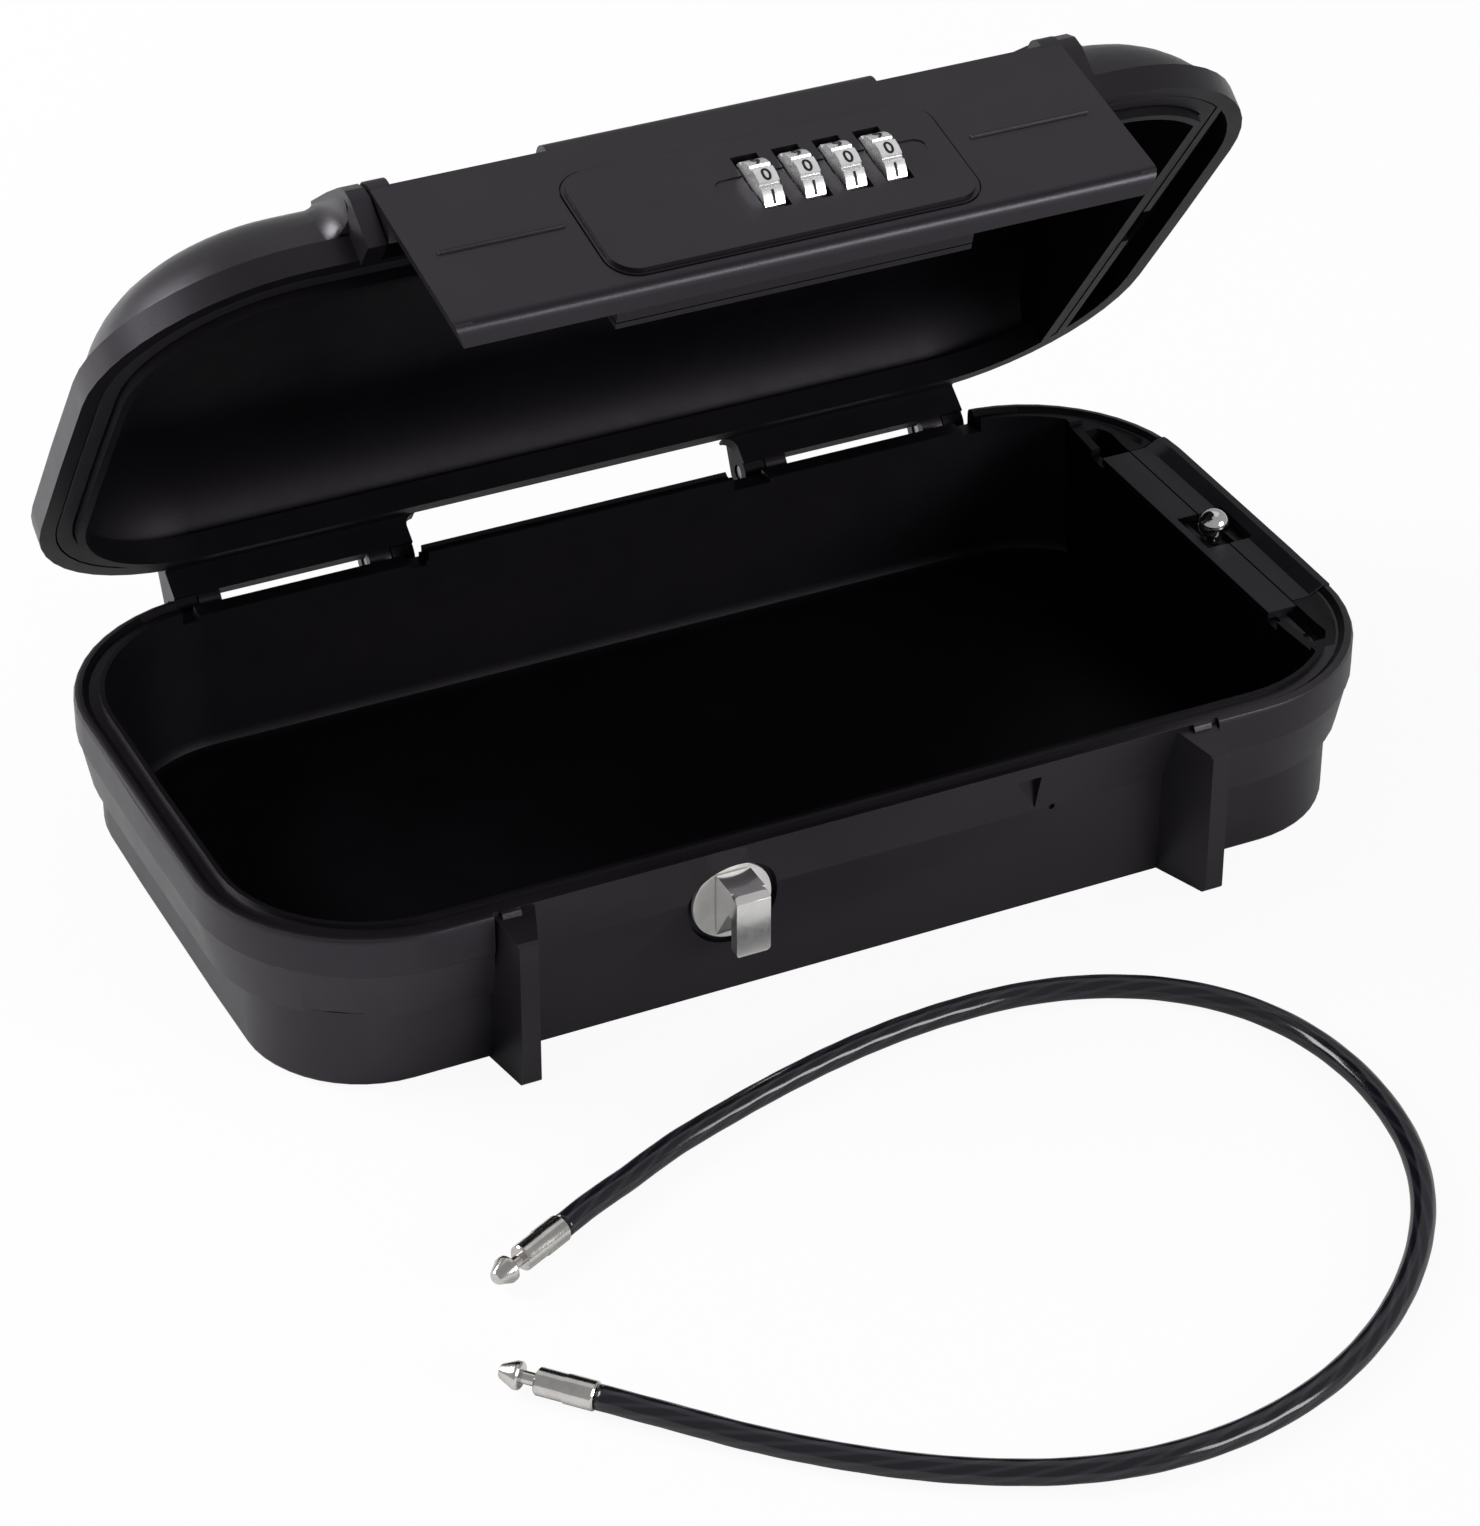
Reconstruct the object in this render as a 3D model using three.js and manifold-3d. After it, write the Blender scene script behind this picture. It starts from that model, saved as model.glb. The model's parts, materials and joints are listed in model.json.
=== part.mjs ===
// Portable car safe: a tray, a domed lid, a latch flap with four dials, and a security cable.
// Millimetres. X runs along the safe, -Y is its front and +Z is up. The origin is the middle of the underside.
// The lid and the flap are drawn shut and then turned open by their groups, as the safe stands at rest.

import * as THREE from 'three';
import { mergeVertices } from 'three/addons/utils/BufferGeometryUtils.js';
import Module from 'manifold-3d';

const wasm = await Module();
wasm.setup();

// Rest pose, in degrees
const lidOpening = 53.2;
const flapOpening = 23.7;

// Gaps between pieces
const seatGap = 0.3;
const pinGap = 0.3;
const slideGap = 0.4;

// Rim band and lower body of the tray
const rimLength = 245;
const rimDepth = 131;
const rimCorner = 35;
const rimHeight = 35;
const rimBow = 0.9;
const rimRound = 1.2;
const bandMiddle = 26.5;
const bandStep = 0.3;
const bandBottom = 16.2;
const bandDraft = 2.2;
const bodyEndInset = 7;
const bodyShift = -1;
const bodySideInset = 3.4;
const bodyCorner = 24;
const bottomRound = 1.5;
const rimWidth = 6.2;
const rimGrooveOuter = 1.8;
const rimGrooveSlope = 1.2;
const rimGrooveInner = 5.2;
const rimGrooveDepth = 0.9;
const cavityDraft = 1.6;
const floorThickness = 2.6;
const floorRound = 3;

// Front bay, where the latch flap closes, and the two ribs beside it
const bayHalfLength = 71.5;
const bayTopSetback = 1;
const bayFootSetback = 4.5;
const bayCrease = 22;
const ribThickness = 3.8;
const ribReach = 7.4;
const ribDrop = 2.7;
const ribRise = 1.6;
const ribInnerSlant = 0.36;
const ribOuterSlant = 0.16;
const ribChamfer = 0.8;
const bandNotch = 1.7;
const bandNotchDepth = 1.2;
const pocketCorners = [[33.4, 31.5], [38.7, 23], [38.7, 31.5]];
const dotPlace = [42.6, 22];
const dotRadius = 0.7;

// Ledge at the right end and its cable lock
const ledgeWidth = 15.5;
const ledgeWall = 2;
const ledgeRecess = 1.6;
const lockPlate = 1.6;
const chamberFloor = 6;
const chamberHalfDepth = 47;
const deckWall = 1.5;
const ledgeSlopeStart = 40;
const ledgeSlopeEnd = 50;
const ledgeEdgeSlope = 3;
const endWall = 5.5;
const seamInset = 8.5;
const coverFront = -31;
const coverBack = 36;
const coverEndInset = 0.3;
const coverSeat = 3;
const slideFront = -33;
const slideBack = 36;
const windowHalf = 6.5;
const windowCentre = 0.6;
const windowReach = 5.4;
const knobRadius = 3.25;
const knobLift = 1.1;
const lockTravel = 3;
const cableHoleRadius = 3.3;
const cableHoleY = 34;
const cableHoleZ = 22;
const slideLegWidth = 7.5;
const slideSlot = 2.9;
const slideSlotDepth = 5;
const slideLeg = 2.2;
const slideLegDrop = 5;
const slideSpine = 3.4;
const slideWindowEdge = 1.8;
const neckOffset = 0.5;
const tongueReach = 2.6;
const tongueHalf = 3;
const tongueThickness = 1.6;
const knobStem = 1.3;
const clipWidth = 4;
const clipDrop = 5;
const clipThickness = 1.6;

// Rear hinges
const hingeOffset = 5.1;
const hingeDrop = 5.9;
const hingeBarrel = 4;
const hingePinRadius = 1.4;
const tabInner = 38;
const tabOuter = 90.4;
const armWidth = 4.8;
const rearSetback = 2.2;
const tabStep = 1.8;
const wallNotches = [[-91.8, -88], [-42, -38.6], [31.6, 40], [86, 90.4]];
const wallNotchDepth = 2.8;
const tabThickness = 3.1;
const tabFaceGap = 0.2;
const tabDrop = 5.8;
const tabFillet = 2.5;
const hingeSideGap = 0.3;

// Lid
const lidGap = 0.3;
const lidEndInset = 0.8;
const lidFrontReach = 0.5;
const lidCorner = 38;
const lidBand = 5.3;
const domeRadius = 25;
const domeSink = 4.1;
const lidWall = 3.2;
const sealWidth = 3.3;
const sealHeight = 1.7;
const lipWidth = 1.6;
const lipDrop = 2;
const webThickness = 1.4;

// The lid's ears, as Y and Z from the flap's pivot
const earTop = [[-3.6, -0.9], [-2.5, 1.9], [0, 4], [6.5, 6.6], [16.3, 10]];
const earInner = [[19.3, 7.2], [7.3, -2.8]];
const filletEdge = [
  [13.3, 0.2], [21.3, 9.8], [16.3, 9.4], [11.4, 7.6], [6.5, 5.7], [3.1, 4.3], [0.7, 2.8],
  [-1, 0.6], [0.1, -1.8], [3.1, -3.8],
];
const filletReach = 6;
const filletSink = 0.4;
const filletOverlap = 0.05;

// Latch flap, in its own frame: origin on its pivot, face towards -Y, tip towards -Z
const pivotReach = 3.8;
const pivotRise = 9.8;
const faceOffset = 3.6;
const flapLength = 41.5;
const flapWall = 1.8;
const flapLip = 5;
const flapLipRound = 2.4;
const flapLipEdge = 1.6;
const flapShoulder = 4.5;
const flapSideGap = 0.4;
const knuckleHalf = 34;
const knuckleShift = -2;
const barrelOverlap = 3;
const sideBarrel = 2.3;
const sideWebDrop = 2.5;
const collarRadius = 3.8;
const collarWidth = 4;
const rodRadius = 1;
const lineRibInner = 41.5;
const lineRibOuter = 66.2;
const lineRibDistance = 21.2;
const lineRibRadius = 0.6;

// Dial plate and dials
const plateCentreX = -0.8;
const plateHalfLength = 37.8;
const plateCentreS = 23.3;
const plateHalfHeight = 15.1;
const plateCorner = 6;
const plateRise = 1;
const plateChamfer = 0.8;
const plateSink = 0.5;
const plateLedge = 1.5;
const dialCount = 4;
const dialPitch = 8.37;
const dialFirstX = -2.4;
const dialS = 21.9;
const dialRadius = 7.3;
const dialWidth = 4.2;
const dialProud = 3.1;
const dialFaces = 10;
const dialTurn = -6;
const dialGroove = 0.55;
const dialSideGap = 0.6;
const dialEndGap = 1.1;
const spindleRadius = 1.2;
const sleeveRadius = 2.1;
const grooveHalfHeight = 2.5;
const grooveDepth = 0.25;
const grooveReach = 2.5;

// Lock case under the flap
const caseLeft = -38;
const caseRight = 34.5;
const caseTop = 6.8;
const caseFoot = 38.6;
const caseWall = 1.6;
const caseBend = 10.5;
const caseDeepFrom = 23;
const caseShallow = 6.4;
const caseDeep = 9.9;
const coverPlate = 1.2;
const spindleRibX = -10;
const ribCatchGap = 1.5;
const bossRadius = 2.2;
const screwRadius = 0.9;
const screwHead = 1.6;
const screwLength = 4.5;
const screwInset = 3.2;
const catchDepth = 5.6;
const catchThickness = 2;
const catchTop = 29.9;
const catchHeight = 3;
const catchNose = 2.2;
const catchNoseHalf = 4.2;
const catchEnd = 28.5;
const springX = -15.8;
const springRadius = 1.5;
const springWire = 0.35;
const springTurns = 5;
const stepsPerTurn = 12;
const springAnchorS = 18.4;
const anchorWall = 1.5;
const anchorReach = 3;
const fingerWidth = 2;
const leverX = -4;
const leverLength = 4;
const leverTravel = 3;
const leverS = 10.3;
const leverFootHalf = 1.6;
const leverLip = 1.5;

// Latch hook on the front wall
const hookX = -26.3;
const hookZ = 20.5;
const discRadius = 8.3;
const discThickness = 1.2;
const hookWidth = 7.1;
const hookReach = 9.4;
const hookPlate = 2.5;
const hookTop = 6.8;
const hookFoot = -7.1;
const hookGusset = -6.8;
const hookBend = 1.2;
const hookThroat = 0.9;
const hookThroatRise = 0.4;
const hookEdge = 0.5;
const hookCorner = 1.5;
const hookTopCorner = 0.8;
const hookPocketDepth = 1.5;
const hookPocketMargin = 1.2;
const hookBossWall = 2.2;
const hookBossMargin = 3;
const studRadius = 2.5;
const nutFlats = 8;
const nutHeight = 3.2;
const washerRadius = 5;
const washerThickness = 1;

// Security cable
const cableRadius = 2.35;
const ferruleRadius = 2.7;
const ferruleLength = 11.2;
const ferruleEdge = 0.3;
const crimpStep = 0.15;
const neckRadius = 1.2;
const neckLength = 3;
const headRadius = 2.6;
const headLength = 4;
const headBand = 1.1;
const headTip = 1.4;
const cableSides = 12;
const cableSteps = 46;

// The cable's middle line on the ground, from one ferrule to the other
const cableRoute = [
  [-87.0, -116.9], [-79.0, -112.9], [-70.8, -109.1], [-58.7, -103.6], [-46.3, -99.3], [-33.8, -95.5],
  [-20.4, -92.2], [-6.8, -89.9], [7.0, -89.0], [20.8, -89.8], [34.1, -93.3], [46.2, -99.8],
  [56.0, -109.4], [62.5, -121.5], [65.5, -135.0], [65.5, -148.7], [62.9, -162.3], [57.6, -175.0],
  [49.9, -186.4], [40.4, -196.4], [29.5, -204.8], [17.5, -211.3], [4.5, -215.6], [-8.8, -217.5],
  [-22.5, -216.8], [-35.8, -213.4], [-48.4, -207.6], [-60.1, -200.3], [-70.9, -191.8], [-81.0, -182.4],
  [-90.6, -172.5], [-100.1, -162.1],
];

// Places that several pieces share
const endX = rimLength / 2;
const rearY = rimDepth / 2;
const frontY = -rimDepth / 2;
const bayTopY = frontY + bayTopSetback;
const bayFootY = frontY + bayFootSetback;
const ribFrontY = frontY - ribReach;
const ribOuterX = bayHalfLength + ribThickness;
const rearWallY = rearY - rearSetback;
const ledgeX = endX - ledgeWidth;
const ledgeTop = rimHeight - ledgeRecess;
const plateBottom = ledgeTop - lockPlate;
const tongueTop = plateBottom - slideSpine + tongueThickness;
const seamX = endX - seamInset;
const chamberEnd = endX - endWall;
const knobX = seamX;
const hingeY = rearY + hingeOffset;
const hingeZ = rimHeight - hingeDrop;
const lidFoot = rimHeight + lidGap;
const lidLength = rimLength - 2 * lidEndInset;
const lidDepth = rimDepth + lidFrontReach;
const lidCentreY = -lidFrontReach / 2;
const lidFrontY = frontY - lidFrontReach;
const bandTop = lidFoot + lidBand;
const domeCentreZ = lidFoot - domeSink;
const domeTop = domeCentreZ + domeRadius;
const webFoot = lidFoot + sealHeight + seatGap;
const webTop = webFoot + webThickness;
const channelOuter = lidWall;
const channelInner = lidWall + sealWidth + 2 * seatGap;
const lipInner = channelInner + lipWidth;
const lipEndX = ledgeX - slideGap;
const pivotY = frontY - pivotReach;
const pivotZ = rimHeight + pivotRise;
const ribTop = rimHeight - ribDrop;
const earFoot = ribTop + ribRise + seatGap;
const flapHalf = bayHalfLength - flapSideGap;
const dialY = -faceOffset - plateRise - dialProud + dialRadius;
const catchMiddle = -faceOffset + catchDepth + catchThickness / 2;
const slotHalfWidth = dialWidth / 2 + dialSideGap;
const slotHalfLength = Math.sqrt(dialRadius ** 2 - (dialY + faceOffset - plateSink) ** 2) + dialEndGap;
const dialXs = Array.from({ length: dialCount }, (_, i) => dialFirstX + i * dialPitch);
const hookPocketY = bayFootY + hookPocketDepth;
const hookDiscY = hookPocketY - seatGap;
const hookBossY = hookPocketY + hookBossWall;
const washerY = hookBossY + seatGap;
const nutY = washerY + washerThickness + seatGap;
const groundZ = ferruleRadius + 0.05;

// Materials
const plastic = new THREE.MeshStandardMaterial({ color: 0x1c1b1e, roughness: 0.42, metalness: 0 });
const innerPlastic = new THREE.MeshStandardMaterial({ color: 0x131215, roughness: 0.6, metalness: 0 });
const rubber = new THREE.MeshStandardMaterial({ color: 0x0d0d0e, roughness: 0.8, metalness: 0 });
const chrome = new THREE.MeshStandardMaterial({ color: 0xd9d7d4, roughness: 0.16, metalness: 1 });
const nickel = new THREE.MeshStandardMaterial({ color: 0xb9b5af, roughness: 0.25, metalness: 1 });
const steel = new THREE.MeshStandardMaterial({ color: 0x8c8c8e, roughness: 0.4, metalness: 1 });
const coated = new THREE.MeshStandardMaterial({ color: 0x111215, roughness: 0.2, metalness: 0 });

// A closed geometry as a solid that can be joined and cut.
function solid(geometry) {
  const bare = geometry.clone();
  bare.deleteAttribute('normal');
  bare.deleteAttribute('uv');
  const merged = mergeVertices(bare, 1e-4);
  const mesh = { numProp: 3, vertProperties: merged.attributes.position.array, triVerts: merged.index.array };
  return new wasm.Manifold(new wasm.Mesh(mesh));
}

function geometryOf(manifold) {
  const mesh = manifold.getMesh();
  const geometry = new THREE.BufferGeometry();
  geometry.setAttribute('position', new THREE.BufferAttribute(mesh.vertProperties, 3));
  geometry.setIndex(new THREE.BufferAttribute(mesh.triVerts, 1));
  geometry.computeVertexNormals();
  return geometry;
}

function addNode(group, name, shape, material) {
  const mesh = new THREE.Mesh(shape.isBufferGeometry ? shape : geometryOf(shape), material);
  mesh.name = name;
  group.add(mesh);
  return mesh;
}

const join = (...solids) => solids.reduce((whole, next) => whole.add(next));
const cut = (whole, ...cutters) => cutters.reduce((left, cutter) => left.subtract(cutter), whole);

function block(x0, x1, y0, y1, z0, z1) {
  const box = new THREE.BoxGeometry(x1 - x0, y1 - y0, z1 - z0);
  return solid(box.translate((x0 + x1) / 2, (y0 + y1) / 2, (z0 + z1) / 2));
}

// A shape drawn in Y and Z, carried along X.
const alongX = new THREE.Matrix4().makeBasis(
  new THREE.Vector3(0, 1, 0), new THREE.Vector3(0, 0, 1), new THREE.Vector3(1, 0, 0));
function barX(shape, x0, x1) {
  const bar = new THREE.ExtrudeGeometry(shape, { depth: x1 - x0, bevelEnabled: false, curveSegments: 8 });
  return solid(bar.applyMatrix4(alongX).translate(x0, 0, 0));
}
const polygon = (points) => new THREE.Shape(points.map(([u, v]) => new THREE.Vector2(u, v)));

function rodX(radius, x0, x1, y, z, sides = 24) {
  const rod = new THREE.CylinderGeometry(radius, radius, x1 - x0, sides);
  return solid(rod.rotateZ(-Math.PI / 2).translate((x0 + x1) / 2, y, z));
}
function rodY(radius, y0, y1, x, z, sides = 24) {
  return solid(new THREE.CylinderGeometry(radius, radius, y1 - y0, sides).translate(x, (y0 + y1) / 2, z));
}

// A rectangle with round corners and slightly bowed ends, as a ring of points that runs anticlockwise.
function outline({ length, depth, corner, bow = 0, centreX = 0, centreY = 0 }, inset = 0) {
  const cornerSteps = 12;
  const endSteps = 4;
  const halfX = length / 2 - inset;
  const halfY = depth / 2 - inset;
  const radius = Math.max(corner - inset, 1);
  const points = [];
  for (const [sx, sy, start] of [[1, 1, 0], [-1, 1, 90], [-1, -1, 180], [1, -1, 270]]) {
    for (let i = 0; i <= cornerSteps; i++) {
      const angle = THREE.MathUtils.degToRad(start + 90 * i / cornerSteps);
      const x = sx * (halfX - radius) + radius * Math.cos(angle);
      points.push(new THREE.Vector2(x, sy * (halfY - radius) + radius * Math.sin(angle)));
    }
    if (sx * sy < 0) {
      const flat = halfY - radius;
      for (let i = 1; i < endSteps; i++) {
        points.push(new THREE.Vector2(sx * halfX, sx * flat * (2 * i / endSteps - 1)));
      }
    }
  }
  for (const point of points) {
    point.x += Math.sign(point.x) * bow * (point.x / halfX) ** 2 * (1 - (point.y / halfY) ** 2);
    point.x += centreX;
    point.y += centreY;
  }
  return points;
}

// A closed body through rings of equally many points, from the lowest to the highest.
function loft(layers) {
  const count = layers[0].ring.length;
  const positions = layers.flatMap(({ ring, z }) => ring.flatMap((point) => [point.x, point.y, z]));
  const faces = [];
  for (let layer = 0; layer + 1 < layers.length; layer++) {
    for (let i = 0; i < count; i++) {
      const a = layer * count + i;
      const b = layer * count + (i + 1) % count;
      faces.push(a, b, b + count, a, b + count, a + count);
    }
  }
  const last = (layers.length - 1) * count;
  for (const [a, b, c] of THREE.ShapeUtils.triangulateShape(layers[0].ring, [])) {
    faces.push(a, c, b);
  }
  for (const [a, b, c] of THREE.ShapeUtils.triangulateShape(layers[layers.length - 1].ring, [])) {
    faces.push(last + a, last + b, last + c);
  }
  const geometry = new THREE.BufferGeometry();
  geometry.setAttribute('position', new THREE.Float32BufferAttribute(positions, 3));
  geometry.setIndex(faces);
  return solid(geometry);
}
function prism(size, inset, z0, z1) {
  const ring = outline(size, inset);
  return loft([{ ring, z: z0 }, { ring, z: z1 }]);
}

// A shape drawn in X and Y carried along Z, and one drawn in X and Z carried along Y.
function postZ(points, z0, z1) {
  const post = new THREE.ExtrudeGeometry(polygon(points), { depth: z1 - z0, bevelEnabled: false });
  return solid(post.translate(0, 0, z0));
}
const plateY = (points, y0, y1) => postZ(points, y0, y1).rotate([90, 0, 0]).translate([0, y0 + y1, 0]);

const rimSize = { length: rimLength, depth: rimDepth, corner: rimCorner, bow: rimBow };
const bodySize = {
  length: rimLength - 2 * bodyEndInset, depth: rimDepth - 2 * bodySideInset, corner: bodyCorner, bow: rimBow,
  centreX: bodyShift,
};
const lidSize = { length: lidLength, depth: lidDepth, corner: lidCorner, bow: rimBow, centreY: lidCentreY };

// A lug or arm of a rear hinge: a round barrel with a web, drawn in Y and Z.
function hingeEar(webPoints, x0, x1) {
  const ear = join(barX(polygon(webPoints), x0, x1), rodX(hingeBarrel, x0, x1, hingeY, hingeZ));
  return cut(ear, rodX(hingePinRadius + pinGap, x0 - 1, x1 + 1, hingeY, hingeZ, 16));
}

const mirrored = (x0, x1) => [[x0, x1], [-x1, -x0]];

// Where the base's hinge lugs stand, each beside an arm of the lid.
const lugOffset = armWidth + hingeSideGap;
const lugSpans = [
  ...mirrored(tabInner + lugOffset, tabInner + lugOffset + armWidth),
  ...mirrored(tabOuter - lugOffset - armWidth, tabOuter - lugOffset),
];

function trayBody() {
  const foot = [0, 1, 2, 3].map((i) => {
    const angle = THREE.MathUtils.degToRad(30 * i);
    const inset = bottomRound * (1 - Math.sin(angle));
    return { ring: outline(bodySize, inset), z: bottomRound * (1 - Math.cos(angle)) };
  });
  const lower = loft([...foot, { ring: outline(bodySize), z: bandBottom + 1 }]);
  const band = loft([
    { ring: outline(rimSize, bandDraft), z: bandBottom },
    { ring: outline(rimSize, bandStep), z: bandMiddle },
    { ring: outline(rimSize), z: bandMiddle + bandStep },
    { ring: outline(rimSize), z: rimHeight - rimRound },
    { ring: outline(rimSize, 0.3 * rimRound), z: rimHeight - 0.3 * rimRound },
    { ring: outline(rimSize, rimRound), z: rimHeight },
  ]);
  return join(lower, band);
}

// The groove along the top of the rim, where the lid's seal lands.
function rimGroove() {
  const foot = rimHeight - rimGrooveDepth;
  const top = outline(rimSize, rimGrooveOuter);
  const outer = loft([
    { ring: outline(rimSize, rimGrooveOuter + rimGrooveSlope), z: foot }, { ring: top, z: rimHeight },
    { ring: top, z: rimHeight + 1 },
  ]);
  return cut(outer, prism(rimSize, rimGrooveInner, foot - 1, rimHeight + 2));
}

function trayCavity() {
  const rim = outline(rimSize, rimWidth);
  const cavity = loft([
    { ring: outline(rimSize, rimWidth + cavityDraft + floorRound), z: floorThickness },
    { ring: outline(rimSize, rimWidth + cavityDraft + floorRound / 3), z: floorThickness + floorRound / 3 },
    { ring: outline(rimSize, rimWidth + cavityDraft), z: floorThickness + floorRound },
    { ring: rim, z: rimHeight },
    { ring: rim, z: rimHeight + 1 },
  ]);
  return cut(cavity, block(ledgeX, endX + 5, frontY, rearY, 0, rimHeight + 5));
}

function frontBay() {
  const air = frontY - 20;
  const section = [
    [air, -1], [bayFootY, -1], [bayFootY, bayCrease], [bayTopY, rimHeight], [bayTopY, rimHeight + 1],
    [air, rimHeight + 1],
  ];
  const bay = barX(polygon(section), -bayHalfLength, bayHalfLength);
  const notches = mirrored(ribOuterX, ribOuterX + bandNotch).map(([x0, x1]) =>
    block(x0, x1, air, frontY + bandNotchDepth, bandBottom - 1, rimHeight + 1));
  const pocket = plateY(pocketCorners, air, bayFootY);
  const dot = rodY(dotRadius, air, bayFootY + dotRadius, ...dotPlace, 10);
  return join(bay, ...notches, pocket, dot);
}

// The ribs get wider towards the wall, more so on the side of the bay.
function frontRibs() {
  const root = bayFootY + 0.5;
  const depth = root - ribFrontY;
  const side = [
    [root, 0], [root, ribTop + ribChamfer], [bayTopY + 0.5, ribTop + ribRise], [ribFrontY + ribChamfer, ribTop],
    [ribFrontY, ribTop - ribChamfer], [ribFrontY, ribChamfer], [ribFrontY + ribChamfer, 0],
  ];
  const plan = [
    [bayHalfLength, ribFrontY], [ribOuterX, ribFrontY], [ribOuterX + ribOuterSlant * depth, root],
    [bayHalfLength - ribInnerSlant * depth, root],
  ];
  const rib = barX(polygon(side), 0, endX).intersect(postZ(plan, -1, rimHeight));
  return join(rib, rib.mirror([1, 0, 0]));
}

// Cuts at the back: the setback wall, its lowered top at the tabs and the slots at their edges.
function rearCuts() {
  const inside = rearY - rimWidth - 1;
  const cuts = [block(-tabOuter, tabOuter, rearWallY, rearY + 5, bandBottom, rimHeight + 1)];
  for (const [x0, x1] of mirrored(tabInner, tabOuter)) {
    cuts.push(block(x0, x1, inside, rearY + 5, rimHeight - tabStep, rimHeight + 1));
  }
  for (const [x0, x1] of wallNotches) {
    cuts.push(block(x0, x1, inside, rearY + 5, rimHeight - wallNotchDepth, rimHeight + 1));
  }
  return cuts;
}

function hingeLugs() {
  const root = rearWallY - 1;
  const web = [
    [root, bandBottom + 0.5], [hingeY - hingeBarrel / 2, hingeZ - hingeBarrel], [hingeY, hingeZ - seatGap],
    [root, hingeZ - seatGap],
  ];
  return join(...lugSpans.map(([x0, x1]) => hingeEar(web, x0, x1)));
}

// The hollow ledge at the right end, with the seats of its plates and the two cable holes.
function lockChamber() {
  const above = rimHeight + 1;
  const deckFoot = plateBottom - deckWall;
  const deep = block(ledgeX + ledgeWall, endX, -chamberHalfDepth, chamberHalfDepth, chamberFloor, deckFoot);
  const well = block(ledgeX + ledgeWall, seamX, -chamberHalfDepth, chamberHalfDepth, chamberFloor, above);
  const chamber = prism(rimSize, endWall, chamberFloor, above).intersect(join(deep, well));
  const underCover = block(
    seamX - 1, chamberEnd, coverFront + coverSeat, coverBack - coverSeat, deckFoot - 1, above);
  const slideSpace = block(
    ledgeX - 1, seamX, slideFront - lockTravel - 1, slideBack + lockTravel + 1, plateBottom - seatGap, above);
  const coverSpace = block(
    seamX - 1, endX + 5, coverFront - seatGap, coverBack + seatGap, plateBottom - seatGap, above);
  const holes = [-cableHoleY, cableHoleY].map((y) =>
    rodX(cableHoleRadius, chamberEnd - 8, endX + 5, y, cableHoleZ, 20));
  return [chamber, underCover, slideSpace, coverSpace, ledgeHollow(), ...holes];
}

// The hollow over the ledge, with its slope up to the edge at the end and to the groove beside both corners.
function ledgeHollow() {
  const edge = outline(rimSize, rimGrooveOuter);
  const hollow = loft([
    { ring: outline(rimSize, rimGrooveOuter + ledgeEdgeSlope), z: ledgeTop }, { ring: edge, z: rimHeight },
    { ring: edge, z: rimHeight + 1 },
  ]);
  const groove = rimHeight - rimGrooveDepth;
  const side = polygon([
    [-ledgeSlopeEnd, rimHeight + 1], [-ledgeSlopeEnd, groove], [-ledgeSlopeStart, ledgeTop],
    [ledgeSlopeStart, ledgeTop], [ledgeSlopeEnd, groove], [ledgeSlopeEnd, rimHeight + 1],
  ]);
  return hollow.intersect(barX(side, ledgeX - 1, endX));
}

function hookPocket() {
  return [
    rodY(discRadius + hookPocketMargin, frontY - 5, hookPocketY, hookX, hookZ, 32),
    rodY(studRadius + pinGap, hookPocketY - 1, hookBossY + 1, hookX, hookZ),
  ];
}

function makeBaseShell() {
  const tray = cut(trayBody(), trayCavity(), rimGroove(), frontBay(), ...rearCuts());
  const hookBoss = rodY(discRadius + hookBossMargin, hookPocketY - 1, hookBossY, hookX, hookZ, 32);
  return cut(join(tray, frontRibs(), hingeLugs(), hookBoss), ...lockChamber(), ...hookPocket());
}

// Slide under the ledge: its top plate shows beside the cavity, and two slotted legs catch the cable ends.
function makeLockSlide() {
  const x0 = ledgeX + seatGap;
  const x1 = seamX - seatGap / 2;
  const plate = block(x0, x1, slideFront, slideBack, plateBottom, ledgeTop);
  const window = block(
    x0 + slideWindowEdge, x1 + 1, windowCentre - windowHalf, windowCentre + windowHalf,
    plateBottom - 1, ledgeTop + 1);
  const legX0 = ledgeX + ledgeWall + slideGap;
  const legX1 = legX0 + slideLeg;
  const firstTip = cableHoleY + neckOffset;
  const secondTip = -cableHoleY + neckOffset;
  const spineFoot = plateBottom - slideSpine;
  const spine = block(legX0, legX1, secondTip - slideLegWidth, firstTip, spineFoot, plateBottom);
  const legFoot = cableHoleZ - slideLegDrop;
  const legs = [firstTip, secondTip].map((tip) => {
    const leg = block(legX0, legX1, tip - slideLegWidth, tip, legFoot, plateBottom);
    const slotFoot = cableHoleZ - slideSlot / 2;
    return cut(leg, block(legX0 - 1, legX1 + 1, tip - slideSlotDepth, tip + 1, slotFoot, slotFoot + slideSlot));
  });
  const tongue = block(
    legX0, knobX + tongueReach, windowCentre - tongueHalf, windowCentre + tongueHalf, spineFoot, tongueTop);
  return join(cut(plate, window), spine, ...legs, tongue);
}

function makeKnob() {
  const stemFoot = tongueTop + seatGap;
  const centre = ledgeTop + knobLift;
  const ball = new THREE.SphereGeometry(knobRadius, 24, 16).rotateX(Math.PI / 2);
  const stem = new THREE.CylinderGeometry(knobStem, knobStem, centre - stemFoot, 16).rotateX(Math.PI / 2);
  stem.translate(0, 0, (stemFoot - centre) / 2);
  return join(solid(ball), solid(stem)).translate([knobX, windowCentre, centre]);
}

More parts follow.
